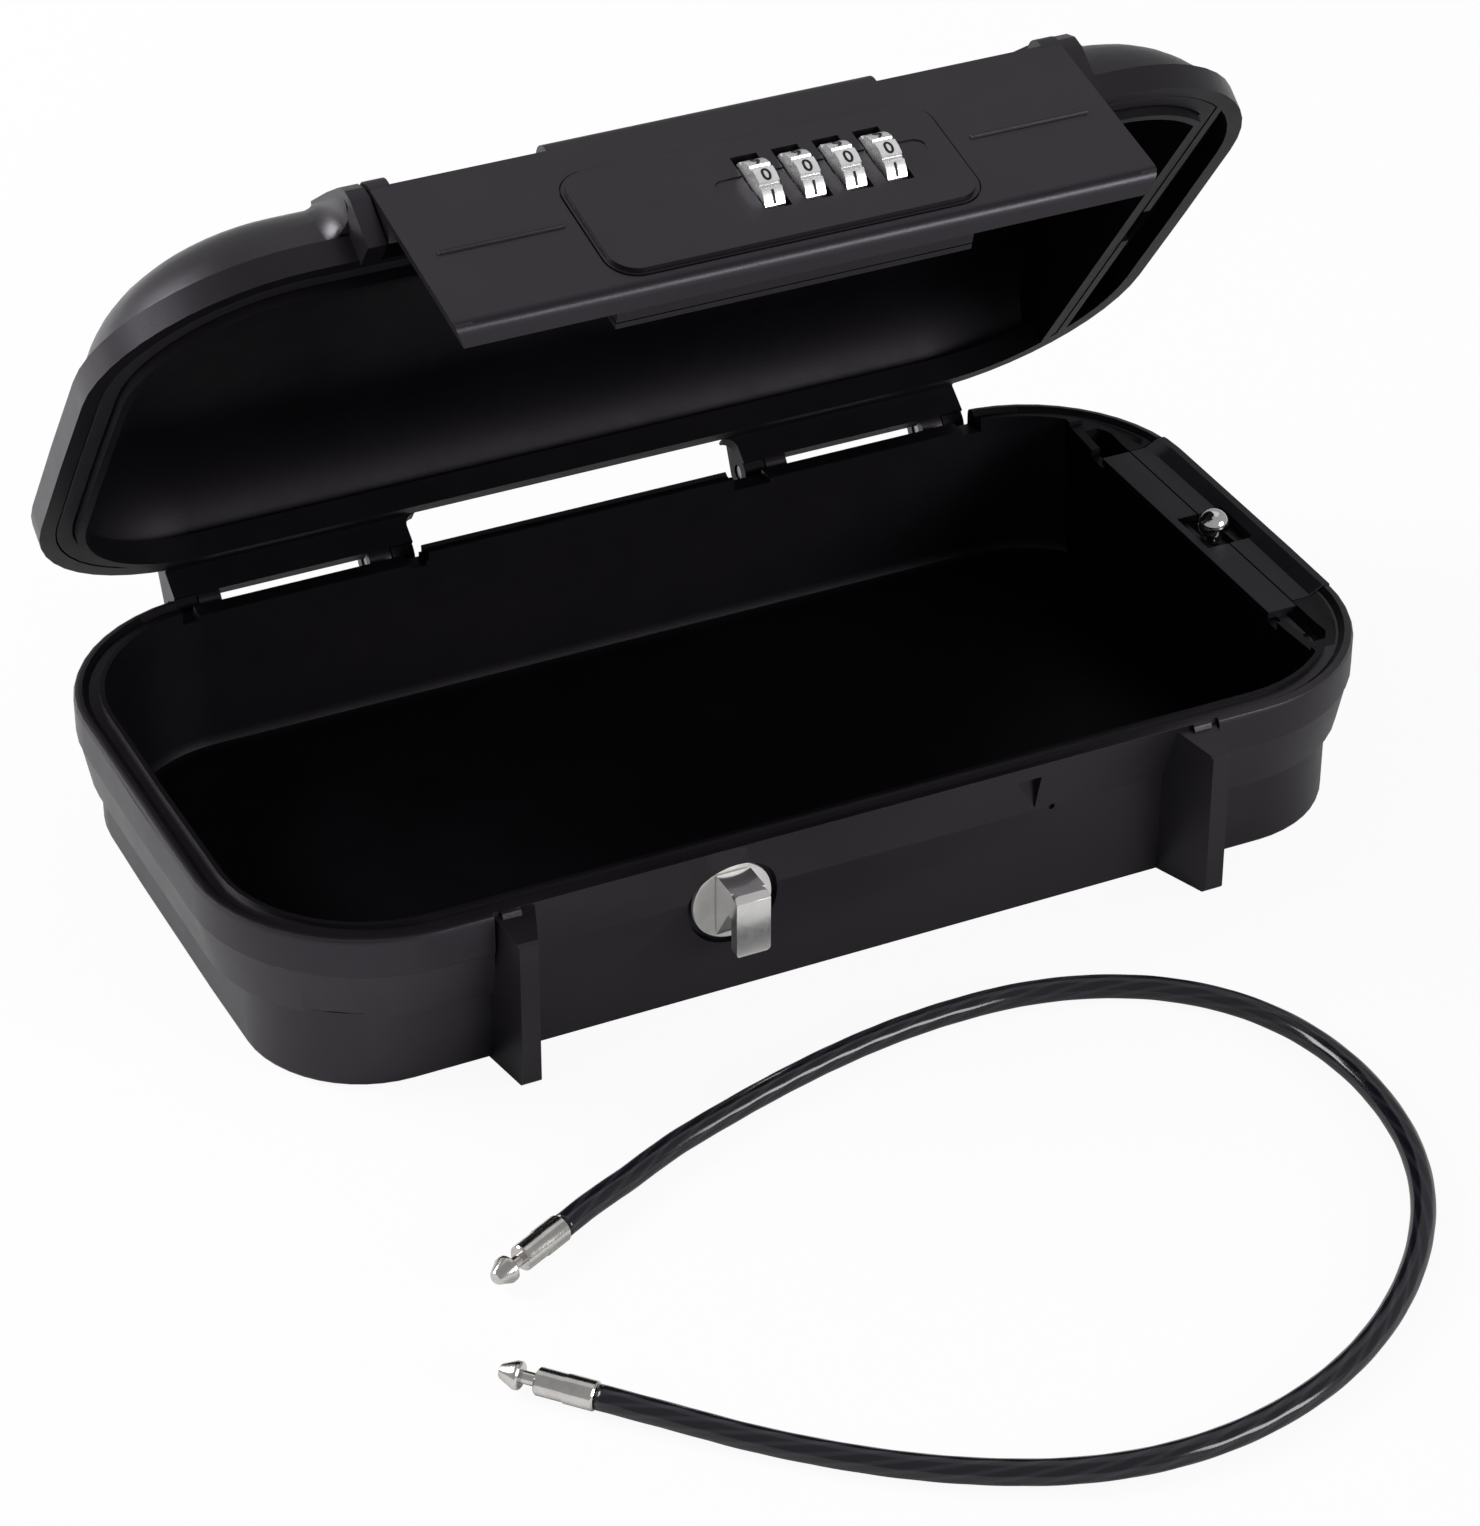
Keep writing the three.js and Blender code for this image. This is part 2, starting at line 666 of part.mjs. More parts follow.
function makeEndCover() {
  const bar = block(seamX + seatGap / 2, endX + 5, coverFront, coverBack, plateBottom, rimHeight);
  const plate = cut(bar.intersect(prism(rimSize, coverEndInset, plateBottom, rimHeight)), ledgeHollow());
  const window = block(
    seamX - 1, seamX + windowReach, windowCentre - windowHalf, windowCentre + windowHalf,
    plateBottom - 1, rimHeight);
  const room = prism(rimSize, endWall + seatGap, plateBottom - clipDrop, plateBottom + 0.5);
  const clips = [coverFront + clipWidth, coverBack - 2 * clipWidth].map((y) =>
    block(seamX + 1, seamX + 1 + clipThickness, y, y + clipWidth, plateBottom - clipDrop, plateBottom + 0.5)
      .intersect(room));
  return join(cut(plate, window), ...clips);
}

function makeHookDisc() {
  const disc = rodY(discRadius, hookDiscY - discThickness, hookDiscY, hookX, hookZ, 40);
  return cut(disc, rodY(studRadius + pinGap, hookDiscY - 5, hookDiscY + 5, hookX, hookZ));
}

// The hook's front plate drawn in X and Z, with round corners.
function hookFront(top, foot) {
  const points = [];
  const corners = [[1, 1, 0], [-1, 1, 90], [-1, -1, 180], [1, -1, 270]];
  for (const [sx, sz, start] of corners) {
    const radius = sz > 0 ? hookTopCorner : hookCorner;
    for (let i = 0; i <= 4; i++) {
      const angle = THREE.MathUtils.degToRad(start + 22.5 * i);
      const x = hookX + sx * (hookWidth / 2 - radius) + radius * Math.cos(angle);
      points.push([x, (sz > 0 ? top - radius : foot + radius) + radius * Math.sin(angle)]);
    }
  }
  return points;
}

function makeHook() {
  const back = hookDiscY - discThickness - seatGap;
  const front = bayFootY - hookReach;
  const inner = front + hookPlate;
  const top = hookZ + hookTop;
  const foot = hookZ + hookFoot;
  const side = polygon([
    [back, top], [front + hookBend, top], [front, top - hookBend], [front, foot + hookBend],
    [front + 0.3 * hookBend, foot + 0.3 * hookBend], [front + hookBend, foot], [inner - hookEdge, foot],
    [inner, foot + hookEdge], [inner, hookZ + hookThroat],
    [inner + hookBend, hookZ + hookThroat + hookThroatRise], [back, hookZ + hookGusset],
  ]);
  const bar = barX(side, hookX - hookWidth / 2, hookX + hookWidth / 2);
  const plate = plateY(hookFront(top, foot), front - 1, inner + 0.01);
  const behind = block(hookX - hookWidth, hookX + hookWidth, inner, back + 1, foot - 1, top + 1);
  const studEnd = nutY + nutHeight + 1;
  return join(bar.intersect(join(plate, behind)), rodY(studRadius, back - 1, studEnd, hookX, hookZ));
}

function makeHookWasher() {
  const washer = rodY(washerRadius, washerY, washerY + washerThickness, hookX, hookZ, 32);
  return cut(washer, rodY(studRadius + pinGap, washerY - 1, washerY + 5, hookX, hookZ));
}

function makeHookNut() {
  const nut = rodY(nutFlats / Math.sqrt(3), nutY, nutY + nutHeight, hookX, hookZ, 6);
  return cut(nut, rodY(studRadius + pinGap, nutY - 1, nutY + 5, hookX, hookZ));
}

// A ring of the lid that follows the cavity: round at the left and straight along the ledge at the right.
function lipRing(outerInset, innerInset, outerEndX, innerEndX, z0, z1) {
  const beyond = (x) => block(x, endX + 5, frontY - 5, rearY + 5, z0 - 2, z1 + 2);
  const outer = cut(prism(lidSize, outerInset, z0, z1), beyond(outerEndX));
  return cut(outer, cut(prism(lidSize, innerInset, z0 - 1, z1 + 1), beyond(innerEndX)));
}

// Rings of the dome between two heights, drawn inside its surface by the given thickness.
function domeLayers(thickness, fromZ) {
  const radius = domeRadius - thickness;
  const start = Math.asin((fromZ - domeCentreZ) / radius);
  const steps = 8;
  return Array.from({ length: steps + 1 }, (_, i) => {
    const angle = start + (Math.PI / 2 - start) * i / steps;
    const inset = domeRadius - radius * Math.cos(angle);
    return { ring: outline(lidSize, inset), z: domeCentreZ + radius * Math.sin(angle) };
  });
}

// Two plates down the back, rounded out over the base's lugs, each with an arm at both ends.
function lidTabs() {
  const root = rearY - 2;
  const face = rearY + tabFaceGap;
  const outer = rearY + tabThickness;
  const overLugs = lugSpans.map(([x0, x1]) =>
    rodX(hingeBarrel + seatGap, x0 - hingeSideGap, x1 + hingeSideGap, hingeY, hingeZ, 32));
  const web = [
    [face, lidFoot], [face, bandTop], [outer, bandTop], [hingeY + hingeBarrel, hingeZ + 1],
    [hingeY - hingeBarrel, hingeZ],
  ];
  const corner = cut(
    block(tabInner - tabFillet, tabInner + 0.5, face, outer, lidFoot - tabFillet, lidFoot + 0.5),
    rodY(tabFillet, face - 1, outer + 1, tabInner - tabFillet, lidFoot - tabFillet));
  const tabs = mirrored(tabInner, tabOuter).flatMap(([x0, x1]) => [
    block(x0, x1, root, outer, lidFoot, bandTop),
    cut(block(x0, x1, face, outer, rimHeight - tabDrop, lidFoot + 1), ...overLugs),
    hingeEar(web, x0, x0 + armWidth),
    hingeEar(web, x1 - armWidth, x1),
  ]);
  return [...tabs, corner, corner.mirror([1, 0, 0])];
}

function fromPivot(points) {
  return points.map(([y, z]) => [pivotY + y, pivotZ + z]);
}

function lidEars() {
  const throat = frontY - 0.8;
  const channelFrontY = lidFrontY + channelOuter - 0.6;
  const inner = fromPivot(earInner);
  const section = [
    [throat, lidFoot], [throat, earFoot], [ribFrontY, earFoot], ...fromPivot(earTop), ...inner,
    [inner[inner.length - 1][0], webFoot + 0.5], [channelFrontY, webFoot + 0.5], [channelFrontY, lidFoot],
  ];
  return mirrored(bayHalfLength, ribOuterX).map(([x0, x1]) =>
    cut(barX(polygon(section), x0, x1), rodX(rodRadius + pinGap, x0 - 1, x1 + 1, pivotY, pivotZ, 16)));
}

// A hollow curve outside each ear, from the ear's outline down to the dome.
function earFillets() {
  const centre = new THREE.Vector2(lidFrontY + domeRadius, domeCentreZ);
  const edge = fromPivot(filletEdge).map(([y, z]) => new THREE.Vector2(y, z));
  const foot = edge.map((point) => {
    const spoke = point.clone().sub(centre);
    return spoke.setLength(Math.min(spoke.length(), domeRadius - filletSink)).add(centre);
  });
  const steps = 8;
  const layers = Array.from({ length: steps + 1 }, (_, i) => {
    const angle = Math.PI / 2 * i / steps;
    const ring = edge.map((point, k) => point.clone().lerp(foot[k], Math.sin(angle)));
    return { ring, z: ribOuterX + filletReach * (1 - Math.cos(angle)) };
  });
  const fillet = loft([{ ring: edge, z: ribOuterX - filletOverlap }, ...layers]).rotate([90, 0, 90]);
  return [fillet, fillet.mirror([1, 0, 0])];
}

function makeLidShell() {
  const outer = join(prism(lidSize, 0, lidFoot, bandTop), loft(domeLayers(0, bandTop)));
  const hollow = join(loft(domeLayers(lidWall, webTop)), prism(lidSize, lipInner, lidFoot - 1, webTop + 1));
  const partition = block(
    lipEndX - lipWidth, lipEndX, frontY + lipInner, rearY - lipInner, lidFoot, domeTop - 1);
  const channelEndX = lipEndX + sealWidth + 2 * seatGap;
  const channel = lipRing(channelOuter, channelInner, channelEndX, lipEndX, lidFoot - 1, webFoot);
  const deckEndX = channelEndX + lipWidth;
  const deck = block(lipEndX - lipWidth, deckEndX, frontY + 1, rearY - 1, lidFoot, webTop)
    .intersect(prism(lidSize, 1, lidFoot, webTop));
  const endPocket = cut(prism(lidSize, channelOuter, lidFoot - 1, webTop + 1),
    block(-endX - 5, deckEndX, frontY - 5, rearY + 5, lidFoot - 2, webTop + 2));
  const knobReach = knobRadius + slideGap;
  const knobRelief = block(knobX - knobReach, knobX + knobReach, windowCentre - knobReach - lockTravel,
    windowCentre + knobReach + lockTravel, lidFoot - 1, webTop + 1);
  const bay = block(-bayHalfLength, bayHalfLength, frontY - 5, bayTopY, lidFoot - 1, bandTop + 1);
  const lip = lipRing(channelInner, lipInner, lipEndX, lipEndX - lipWidth, lidFoot - lipDrop, webTop);
  const dome = cut(join(outer, ...earFillets()), hollow);
  const walls = join(dome, partition.intersect(outer), deck);
  const shell = cut(walls, channel, endPocket, knobRelief, bay);
  return join(shell, lip, ...lidTabs(), ...lidEars());
}

function makeSeal() {
  const start = lipEndX + seatGap;
  const top = lidFoot + sealHeight;
  return lipRing(channelOuter + seatGap, channelInner - seatGap, start + sealWidth, start, lidFoot, top);
}

// The flap's cover: face, rounded lip, end walls and the barrel on its pivot.
function makeFlapCover() {
  const face = -faceOffset;
  const inner = face + flapWall;
  const lipBack = face + flapLip;
  const tip = -flapLength;
  const section = new THREE.Shape();
  section.moveTo(inner, -0.5);
  section.lineTo(face, -0.5);
  section.lineTo(face, tip + flapLipRound);
  section.absarc(face + flapLipRound, tip + flapLipRound, flapLipRound, Math.PI, 1.5 * Math.PI, false);
  section.lineTo(lipBack, tip);
  section.lineTo(lipBack, tip + flapLipEdge);
  section.lineTo(inner + 1, tip + flapWall);
  section.lineTo(inner, tip + flapWall + 1);
  const sheet = barX(section, -flapHalf, flapHalf);
  const slant = ribInnerSlant * flapLip;
  const walls = mirrored(flapHalf - slant - flapWall, flapHalf).map(([x0, x1]) =>
    block(x0, x1, face + 0.2, lipBack, tip + 1, -flapShoulder));
  const besideRib = postZ([[flapHalf, face], [flapHalf + 2, face], [flapHalf + 2, lipBack + 2],
    [flapHalf - ribInnerSlant * (flapLip + 2), lipBack + 2]], tip - 1, ribTop + ribRise + seatGap - pivotZ);
  const web = [[inner + 0.1, -flapShoulder], [face, -flapShoulder], [face, 0], [0, 0], [0, -2]];
  const barrel = [
    rodX(faceOffset, knuckleShift - knuckleHalf, knuckleShift + knuckleHalf, 0, 0, 32),
    barX(polygon(web), knuckleShift - knuckleHalf, knuckleShift + knuckleHalf),
    ...mirrored(knuckleHalf - barrelOverlap, flapHalf - collarWidth + 0.5).map(([x0, x1]) =>
      rodX(sideBarrel, x0, x1, 0, 0)),
    ...mirrored(knuckleHalf - barrelOverlap, flapHalf).map(([x0, x1]) =>
      block(x0, x1, face, -1, -sideWebDrop, -0.5)),
    ...mirrored(flapHalf - collarWidth, flapHalf).map(([x0, x1]) => rodX(collarRadius, x0, x1, 0, 0)),
  ];
  const ribs = mirrored(lineRibInner, lineRibOuter).map(([x0, x1]) =>
    rodX(lineRibRadius, x0, x1, face, -lineRibDistance, 12));
  const bore = rodX(rodRadius + pinGap, -flapHalf - 1, flapHalf + 1, 0, 0, 16);
  const seat = platePrism(seatGap, face - 1, face + plateSink + seatGap);
  const opening = platePrism(-plateLedge, face - 1, inner + 3);
  const whole = join(sheet, ...walls, ...barrel, ...ribs);
  return cut(whole, bore, seat, opening, besideRib, besideRib.mirror([1, 0, 0]));
}

// The dial plate's outline grown by a margin, between two depths.
function platePrism(margin, y0, y1) {
  const size = {
    length: 2 * (plateHalfLength + margin), depth: 2 * (plateHalfHeight + margin), corner: plateCorner + margin,
  };
  const body = prism(size, 0, 0, y1 - y0);
  return body.rotate([90, 0, 0]).translate([plateCentreX, y1, -plateCentreS]);
}

function dialSlots(y0, y1) {
  return dialXs.map((x) =>
    block(x - slotHalfWidth, x + slotHalfWidth, y0, y1, -dialS - slotHalfLength, -dialS + slotHalfLength));
}

function makeDialPlate() {
  const face = -faceOffset;
  const top = face - plateRise;
  const lower = platePrism(0, top + plateChamfer, face + plateSink);
  const upper = platePrism(-plateChamfer, top, top + plateChamfer + 0.1);
  const reach = dialXs.length * dialPitch / 2 + grooveReach;
  const middle = (dialXs[0] + dialXs[dialXs.length - 1]) / 2;
  const groove = join(
    block(middle - reach, middle + reach, top - 1, top + grooveDepth,
      -dialS - grooveHalfHeight, -dialS + grooveHalfHeight),
    ...[middle - reach, middle + reach].map((x) =>
      rodY(grooveHalfHeight, top - 1, top + grooveDepth, x, -dialS, 20)));
  return cut(join(lower, upper), groove, ...dialSlots(face - 5, face + 5));
}

// Side of the lock case in Y and Z, with its back grown outwards by the given amount.
function caseSection(front, growth, topS, footS) {
  const back = -faceOffset + growth;
  return polygon([
    [front, -topS], [front, -footS], [back + caseDeep, -footS], [back + caseDeep, -caseDeepFrom],
    [back + caseShallow, -caseBend], [back + caseShallow, -topS],
  ]);
}

const screwSpots = [caseLeft + screwInset, caseRight - screwInset].flatMap((x) =>
  [caseTop + screwInset, caseFoot - screwInset].map((s) => ({ x, s })));
const caseFrontY = -faceOffset + flapWall + seatGap;
const backDepthAt = (s) => {
  const share = THREE.MathUtils.clamp((s - caseBend) / (caseDeepFrom - caseBend), 0, 1);
  return -faceOffset + caseShallow + share * (caseDeep - caseShallow);
};

function makeLockCase() {
  const outer = barX(caseSection(caseFrontY, 0, caseTop, caseFoot), caseLeft, caseRight);
  const inner = barX(caseSection(caseFrontY - 1, 1, caseTop + caseWall, caseFoot - caseWall),
    caseLeft + caseWall, caseRight - caseWall);
  const ribSection = caseSection(caseFrontY, 0, caseTop + 0.5, catchTop - ribCatchGap);
  const rib = barX(ribSection, spindleRibX - caseWall, spindleRibX);
  const bosses = screwSpots.map(({ x, s }) => rodY(bossRadius, caseFrontY, backDepthAt(s) - 0.05, x, -s, 16));
  const anchorBack = backDepthAt(springAnchorS - anchorWall) - 0.2;
  const anchor = block(springX - anchorReach, spindleRibX - caseWall + 0.2, caseFrontY, anchorBack,
    -springAnchorS, -springAnchorS + anchorWall);
  const holes = screwSpots.map(({ x, s }) => rodY(screwRadius + 0.15, caseFrontY + 0.4, 20, x, -s, 12));
  const spindleHole = rodX(spindleRadius + pinGap, spindleRibX - 3, caseRight + 1, dialY, -dialS, 16);
  return cut(join(cut(outer, inner), rib, anchor, ...bosses), spindleHole, ...holes);
}

function makeBackCover() {
  const outer = barX(caseSection(0, seatGap + coverPlate, caseTop, caseFoot), caseLeft, caseRight);
  const inner = barX(caseSection(-1, seatGap, caseTop - 1, caseFoot + 1), caseLeft - 1, caseRight + 1);
  const hookWindow = rodY(discRadius + 0.8, 0, 20, hookX, hookZ - pivotZ, 32);
  const wheelSlots = dialXs.map((x) =>
    block(x - slotHalfWidth, x + slotHalfWidth, 0, 20, -dialS - dialRadius - 0.3, -dialS + dialRadius + 0.3));
  const leverSlot = block(
    leverX - 1, leverX + leverLength + leverTravel + 1, 0, 20,
    -leverS - leverFootHalf, -leverS + leverFootHalf);
  const heads = screwSpots.map(({ x, s }) =>
    rodY(screwHead + 0.2, backDepthAt(s) + seatGap + coverPlate / 2, 20, x, -s, 16));
  const holes = screwSpots.map(({ x, s }) => rodY(screwRadius + 0.2, 0, 20, x, -s, 12));
  return cut(outer, inner, hookWindow, ...wheelSlots, leverSlot, ...heads, ...holes);
}

function makeCaseScrew({ x, s }) {
  const under = backDepthAt(s) + seatGap + coverPlate / 2 + 0.05;
  const head = rodY(screwHead, under, under + coverPlate / 2, x, -s, 16);
  return join(head, rodY(screwRadius, under - screwLength, under + 0.1, x, -s, 12));
}

// A dial: ten faces with a groove between each two.
function makeDial(x) {
  const grooveRadius = dialRadius - dialGroove;
  const corners = [
    [0.12, dialRadius], [0.5, dialRadius], [0.88, dialRadius], [0.94, grooveRadius], [1.06, grooveRadius],
  ];
  const points = [];
  for (let i = 0; i < dialFaces; i++) {
    for (const [share, radius] of corners) {
      const angle = 2 * Math.PI * (i + share) / dialFaces + THREE.MathUtils.degToRad(dialTurn);
      points.push([radius * Math.cos(angle), radius * Math.sin(angle)]);
    }
  }
  const wheel = barX(polygon(points), x - dialWidth / 2, x + dialWidth / 2).translate([0, dialY, -dialS]);
  return cut(wheel, rodX(spindleRadius + pinGap, x - 5, x + 5, dialY, -dialS, 16));
}

function makeSleeve(x) {
  const x0 = x + dialWidth / 2 + seatGap;
  const x1 = x + dialPitch - dialWidth / 2 - seatGap;
  const sleeve = rodX(sleeveRadius, x0, x1, dialY, -dialS, 20);
  return cut(sleeve, rodX(spindleRadius + pinGap, x0 - 1, x1 + 1, dialY, -dialS, 16));
}

// The catch slides towards the tip to let go of the hook. Its fingers reach between the dials to the sleeves.
function makeCatch() {
  const y0 = -faceOffset + catchDepth;
  const y1 = y0 + catchThickness;
  const bar = block(hookX - catchNoseHalf, catchEnd, y0, y1, -catchTop - catchHeight, -catchTop);
  const nose = block(
    hookX - catchNoseHalf, hookX + catchNoseHalf, y0, y1, -catchTop - 1, -catchTop + catchNose);
  const fingers = dialXs.map((x) => {
    const middle = x + dialPitch / 2;
    return block(middle - fingerWidth / 2, middle + fingerWidth / 2, dialY - 1, y1, -catchTop - 1,
      -dialS - sleeveRadius - seatGap);
  });
  return join(bar, nose, ...fingers);
}

// The spring that pulls the catch back, between it and an anchor in the case.
function makeCatchSpring() {
  const foot = springAnchorS + seatGap;
  const length = catchTop - seatGap - foot - 2 * springWire;
  const points = [];
  const steps = springTurns * stepsPerTurn;
  for (let i = 0; i <= steps; i++) {
    const angle = 2 * Math.PI * i / stepsPerTurn;
    const s = foot + springWire + length * i / steps;
    points.push(new THREE.Vector3(springX + springRadius * Math.cos(angle),
      catchMiddle + springRadius * Math.sin(angle), -s));
  }
  const wire = polygon(Array.from({ length: 6 }, (_, i) => {
    const angle = Math.PI * i / 3;
    return [springWire * Math.cos(angle), springWire * Math.sin(angle)];
  }));
  const path = new THREE.CatmullRomCurve3(points);
  return new THREE.ExtrudeGeometry(wire, { steps, extrudePath: path, bevelEnabled: false });
}

function makeLever() {
  const back = backDepthAt(leverS);
  const stemHalf = leverFootHalf - seatGap;
  const footEnd = leverX + leverLength + leverLip;
  const stem = block(
    leverX, leverX + leverLength, back - leverLip, back + seatGap + coverPlate,
    -leverS - stemHalf, -leverS + stemHalf);
  const foot = block(
    leverX - leverLip, footEnd, back - 2 * leverLip, back - slideGap,
    -leverS - leverFootHalf, -leverS + leverFootHalf);
  return join(stem, foot);
}

// A crimped cable end: ferrule, neck and mushroom head, turned about +Z with the cable at its foot.
function makeCableEnd() {
  const half = ferruleLength / 2;
  const neckFoot = ferruleLength;
  const headFoot = neckFoot + neckLength;
  const headTop = headFoot + headLength;
  const profile = [
    [0, 0], [ferruleRadius - ferruleEdge, 0], [ferruleRadius, ferruleEdge], [ferruleRadius, half],
    [ferruleRadius - crimpStep, half + ferruleEdge], [ferruleRadius - crimpStep, neckFoot - ferruleEdge],
    [ferruleRadius - crimpStep - ferruleEdge, neckFoot], [neckRadius, neckFoot], [neckRadius, headFoot],
    [headRadius - ferruleEdge, headFoot], [headRadius, headFoot + ferruleEdge],
    [headRadius, headFoot + headBand], [headTip, headTop - ferruleEdge], [headTip - ferruleEdge, headTop],
    [0, headTop],
  ];
  return new THREE.LatheGeometry(profile.map(([r, h]) => new THREE.Vector2(r, h)), 20).rotateX(Math.PI / 2);
}

const routePoint = ([x, y], z) => new THREE.Vector3(x, y, z);
const cableCurve = new THREE.CatmullRomCurve3(cableRoute.map((point, i) =>
  routePoint(point, i < 2 || i > cableRoute.length - 3 ? groundZ : cableRadius + 0.05)));

function makeCable() {
  const ring = new THREE.Shape();
  for (let i = 0; i < cableSides; i++) {
    const angle = 2 * Math.PI * i / cableSides;
    ring[i === 0 ? 'moveTo' : 'lineTo'](cableRadius * Math.cos(angle), cableRadius * Math.sin(angle));
  }
  return new THREE.ExtrudeGeometry(ring, { steps: cableSteps, extrudePath: cableCurve, bevelEnabled: false });
}

function placeCableEnd(group, name, along) {
  const tangent = cableCurve.getTangent(along).multiplyScalar(along === 0 ? -1 : 1).setZ(0).normalize();
  const start = cableCurve.getPoint(along).setZ(groundZ);
  const end = addNode(group, name, makeCableEnd(), nickel);
  end.position.copy(start).addScaledVector(tangent, seatGap);
  end.quaternion.setFromUnitVectors(new THREE.Vector3(0, 0, 1), tangent);
}

const safe = new THREE.Group();

addNode(safe, 'base_shell', makeBaseShell(), plastic);
addNode(safe, 'cable_lock_slide', makeLockSlide(), innerPlastic);
addNode(safe, 'slide_ball_knob', makeKnob(), chrome);
addNode(safe, 'end_cover', makeEndCover(), innerPlastic);
addNode(safe, 'hook_disc', makeHookDisc(), nickel);
addNode(safe, 'latch_hook', makeHook(), chrome);
addNode(safe, 'hook_washer', makeHookWasher(), steel);
addNode(safe, 'hook_nut', makeHookNut(), steel);
[...mirrored(tabInner, tabInner + 2 * armWidth + hingeSideGap),
  ...mirrored(tabOuter - 2 * armWidth - hingeSideGap, tabOuter)].forEach(([x0, x1], i) => {
  addNode(safe, `hinge_pin_${i + 1}`, rodX(hingePinRadius, x0 + 0.4, x1 - 0.4, hingeY, hingeZ, 16), steel);
});

// Pieces inside the lid's group are drawn shut, about the hinge axis.
const lid = new THREE.Group();
lid.position.set(0, hingeY, hingeZ);
lid.rotation.x = -THREE.MathUtils.degToRad(lidOpening);
safe.add(lid);
const lidFrame = new THREE.Group();
lidFrame.position.set(0, -hingeY, -hingeZ);
lid.add(lidFrame);

addNode(lidFrame, 'lid_shell', makeLidShell(), plastic);
addNode(lidFrame, 'lid_seal', makeSeal(), rubber);
const rodEnd = ribOuterX - 0.4;
addNode(lidFrame, 'flap_hinge_rod', rodX(rodRadius, -rodEnd, rodEnd, pivotY, pivotZ, 16), steel);

// Pieces inside the flap's group have their origin on its pivot.
const flap = new THREE.Group();
flap.position.set(0, pivotY, pivotZ);
flap.rotation.x = -THREE.MathUtils.degToRad(flapOpening);
lidFrame.add(flap);

addNode(flap, 'flap_cover', makeFlapCover(), plastic);
addNode(flap, 'dial_plate', makeDialPlate(), plastic);
addNode(flap, 'lock_case', makeLockCase(), innerPlastic);
addNode(flap, 'lock_back_cover', makeBackCover(), innerPlastic);
screwSpots.forEach((spot, i) => addNode(flap, `case_screw_${i + 1}`, makeCaseScrew(spot), steel));
const spindle = rodX(spindleRadius, spindleRibX - caseWall + 0.2, caseRight - seatGap, dialY, -dialS, 16);
addNode(flap, 'dial_spindle', spindle, steel);
dialXs.forEach((x, i) => {
  addNode(flap, `dial_wheel_${i + 1}`, makeDial(x), chrome);
  addNode(flap, `code_sleeve_${i + 1}`, makeSleeve(x), steel);
});
addNode(flap, 'catch_slide', makeCatch(), steel);
addNode(flap, 'catch_spring', makeCatchSpring(), steel);
addNode(flap, 'reset_lever', makeLever(), innerPlastic);

addNode(safe, 'cable', makeCable(), coated);
placeCableEnd(safe, 'cable_end_1', 0);
placeCableEnd(safe, 'cable_end_2', 1);

export default safe;
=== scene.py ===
import json
import math

import bmesh
import bpy
from mathutils import Matrix, Vector


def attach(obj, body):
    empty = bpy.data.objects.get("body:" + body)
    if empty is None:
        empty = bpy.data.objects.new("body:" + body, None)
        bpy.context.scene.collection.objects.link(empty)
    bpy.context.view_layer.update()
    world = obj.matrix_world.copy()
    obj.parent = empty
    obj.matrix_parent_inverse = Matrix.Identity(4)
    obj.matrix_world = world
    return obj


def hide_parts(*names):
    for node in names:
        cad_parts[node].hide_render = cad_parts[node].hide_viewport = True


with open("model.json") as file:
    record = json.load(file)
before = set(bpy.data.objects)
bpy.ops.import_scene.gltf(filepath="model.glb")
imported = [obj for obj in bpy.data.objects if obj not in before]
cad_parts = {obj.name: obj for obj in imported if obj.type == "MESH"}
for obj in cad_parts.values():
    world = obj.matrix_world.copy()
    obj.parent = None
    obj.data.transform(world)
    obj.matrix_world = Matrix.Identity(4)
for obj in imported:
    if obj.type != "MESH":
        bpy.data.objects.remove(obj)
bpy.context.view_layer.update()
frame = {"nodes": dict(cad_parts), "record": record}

MM = 0.001
DIALS = 4

# Camera: place and direction, fitted to the photograph
CAMERA_PLACE = (-364.8, -767.2, 570.1)
CAMERA_YAW = 25.711
CAMERA_PITCH = 33.501
CAMERA_ROLL = 0.0955
FOCAL_PIXELS = 5034.06
PICTURE_HEIGHT = 1526
SENSOR = 36
NEAREST_SEEN = 0.01

# Rest pose of the lid and the flap, as in the frame
LID_OPENING = 53.2
FLAP_OPENING = 23.7
HINGE = (0, 70.6, 29.1)
PIVOT = (0, -69.3, 44.8)

# The cable's middle line on the ground, in millimetres, as in the part's source
CABLE_ROUTE = [
    (-87.0, -116.9), (-79.0, -112.9), (-70.8, -109.1), (-58.7, -103.6), (-46.3, -99.3), (-33.8, -95.5),
    (-20.4, -92.2), (-6.8, -89.9), (7.0, -89.0), (20.8, -89.8), (34.1, -93.3), (46.2, -99.8),
    (56.0, -109.4), (62.5, -121.5), (65.5, -135.0), (65.5, -148.7), (62.9, -162.3), (57.6, -175.0),
    (49.9, -186.4), (40.4, -196.4), (29.5, -204.8), (17.5, -211.3), (4.5, -215.6), (-8.8, -217.5),
    (-22.5, -216.8), (-35.8, -213.4), (-48.4, -207.6), (-60.1, -200.3), (-70.9, -191.8), (-81.0, -182.4),
    (-90.6, -172.5), (-100.1, -162.1),
]
CABLE_RADIUS = 2.35
CABLE_CLEARANCE = 0.05
FERRULE_HEIGHT = 2.75
FERRULE_POINTS = 2
CABLE_SIDES = 24
CABLE_STEPS = 12
WIRE_STRANDS = 7
WIRE_TWIST = 9.0
WIRE_RELIEF = 0.05
UNROLLED_UNIT = 100


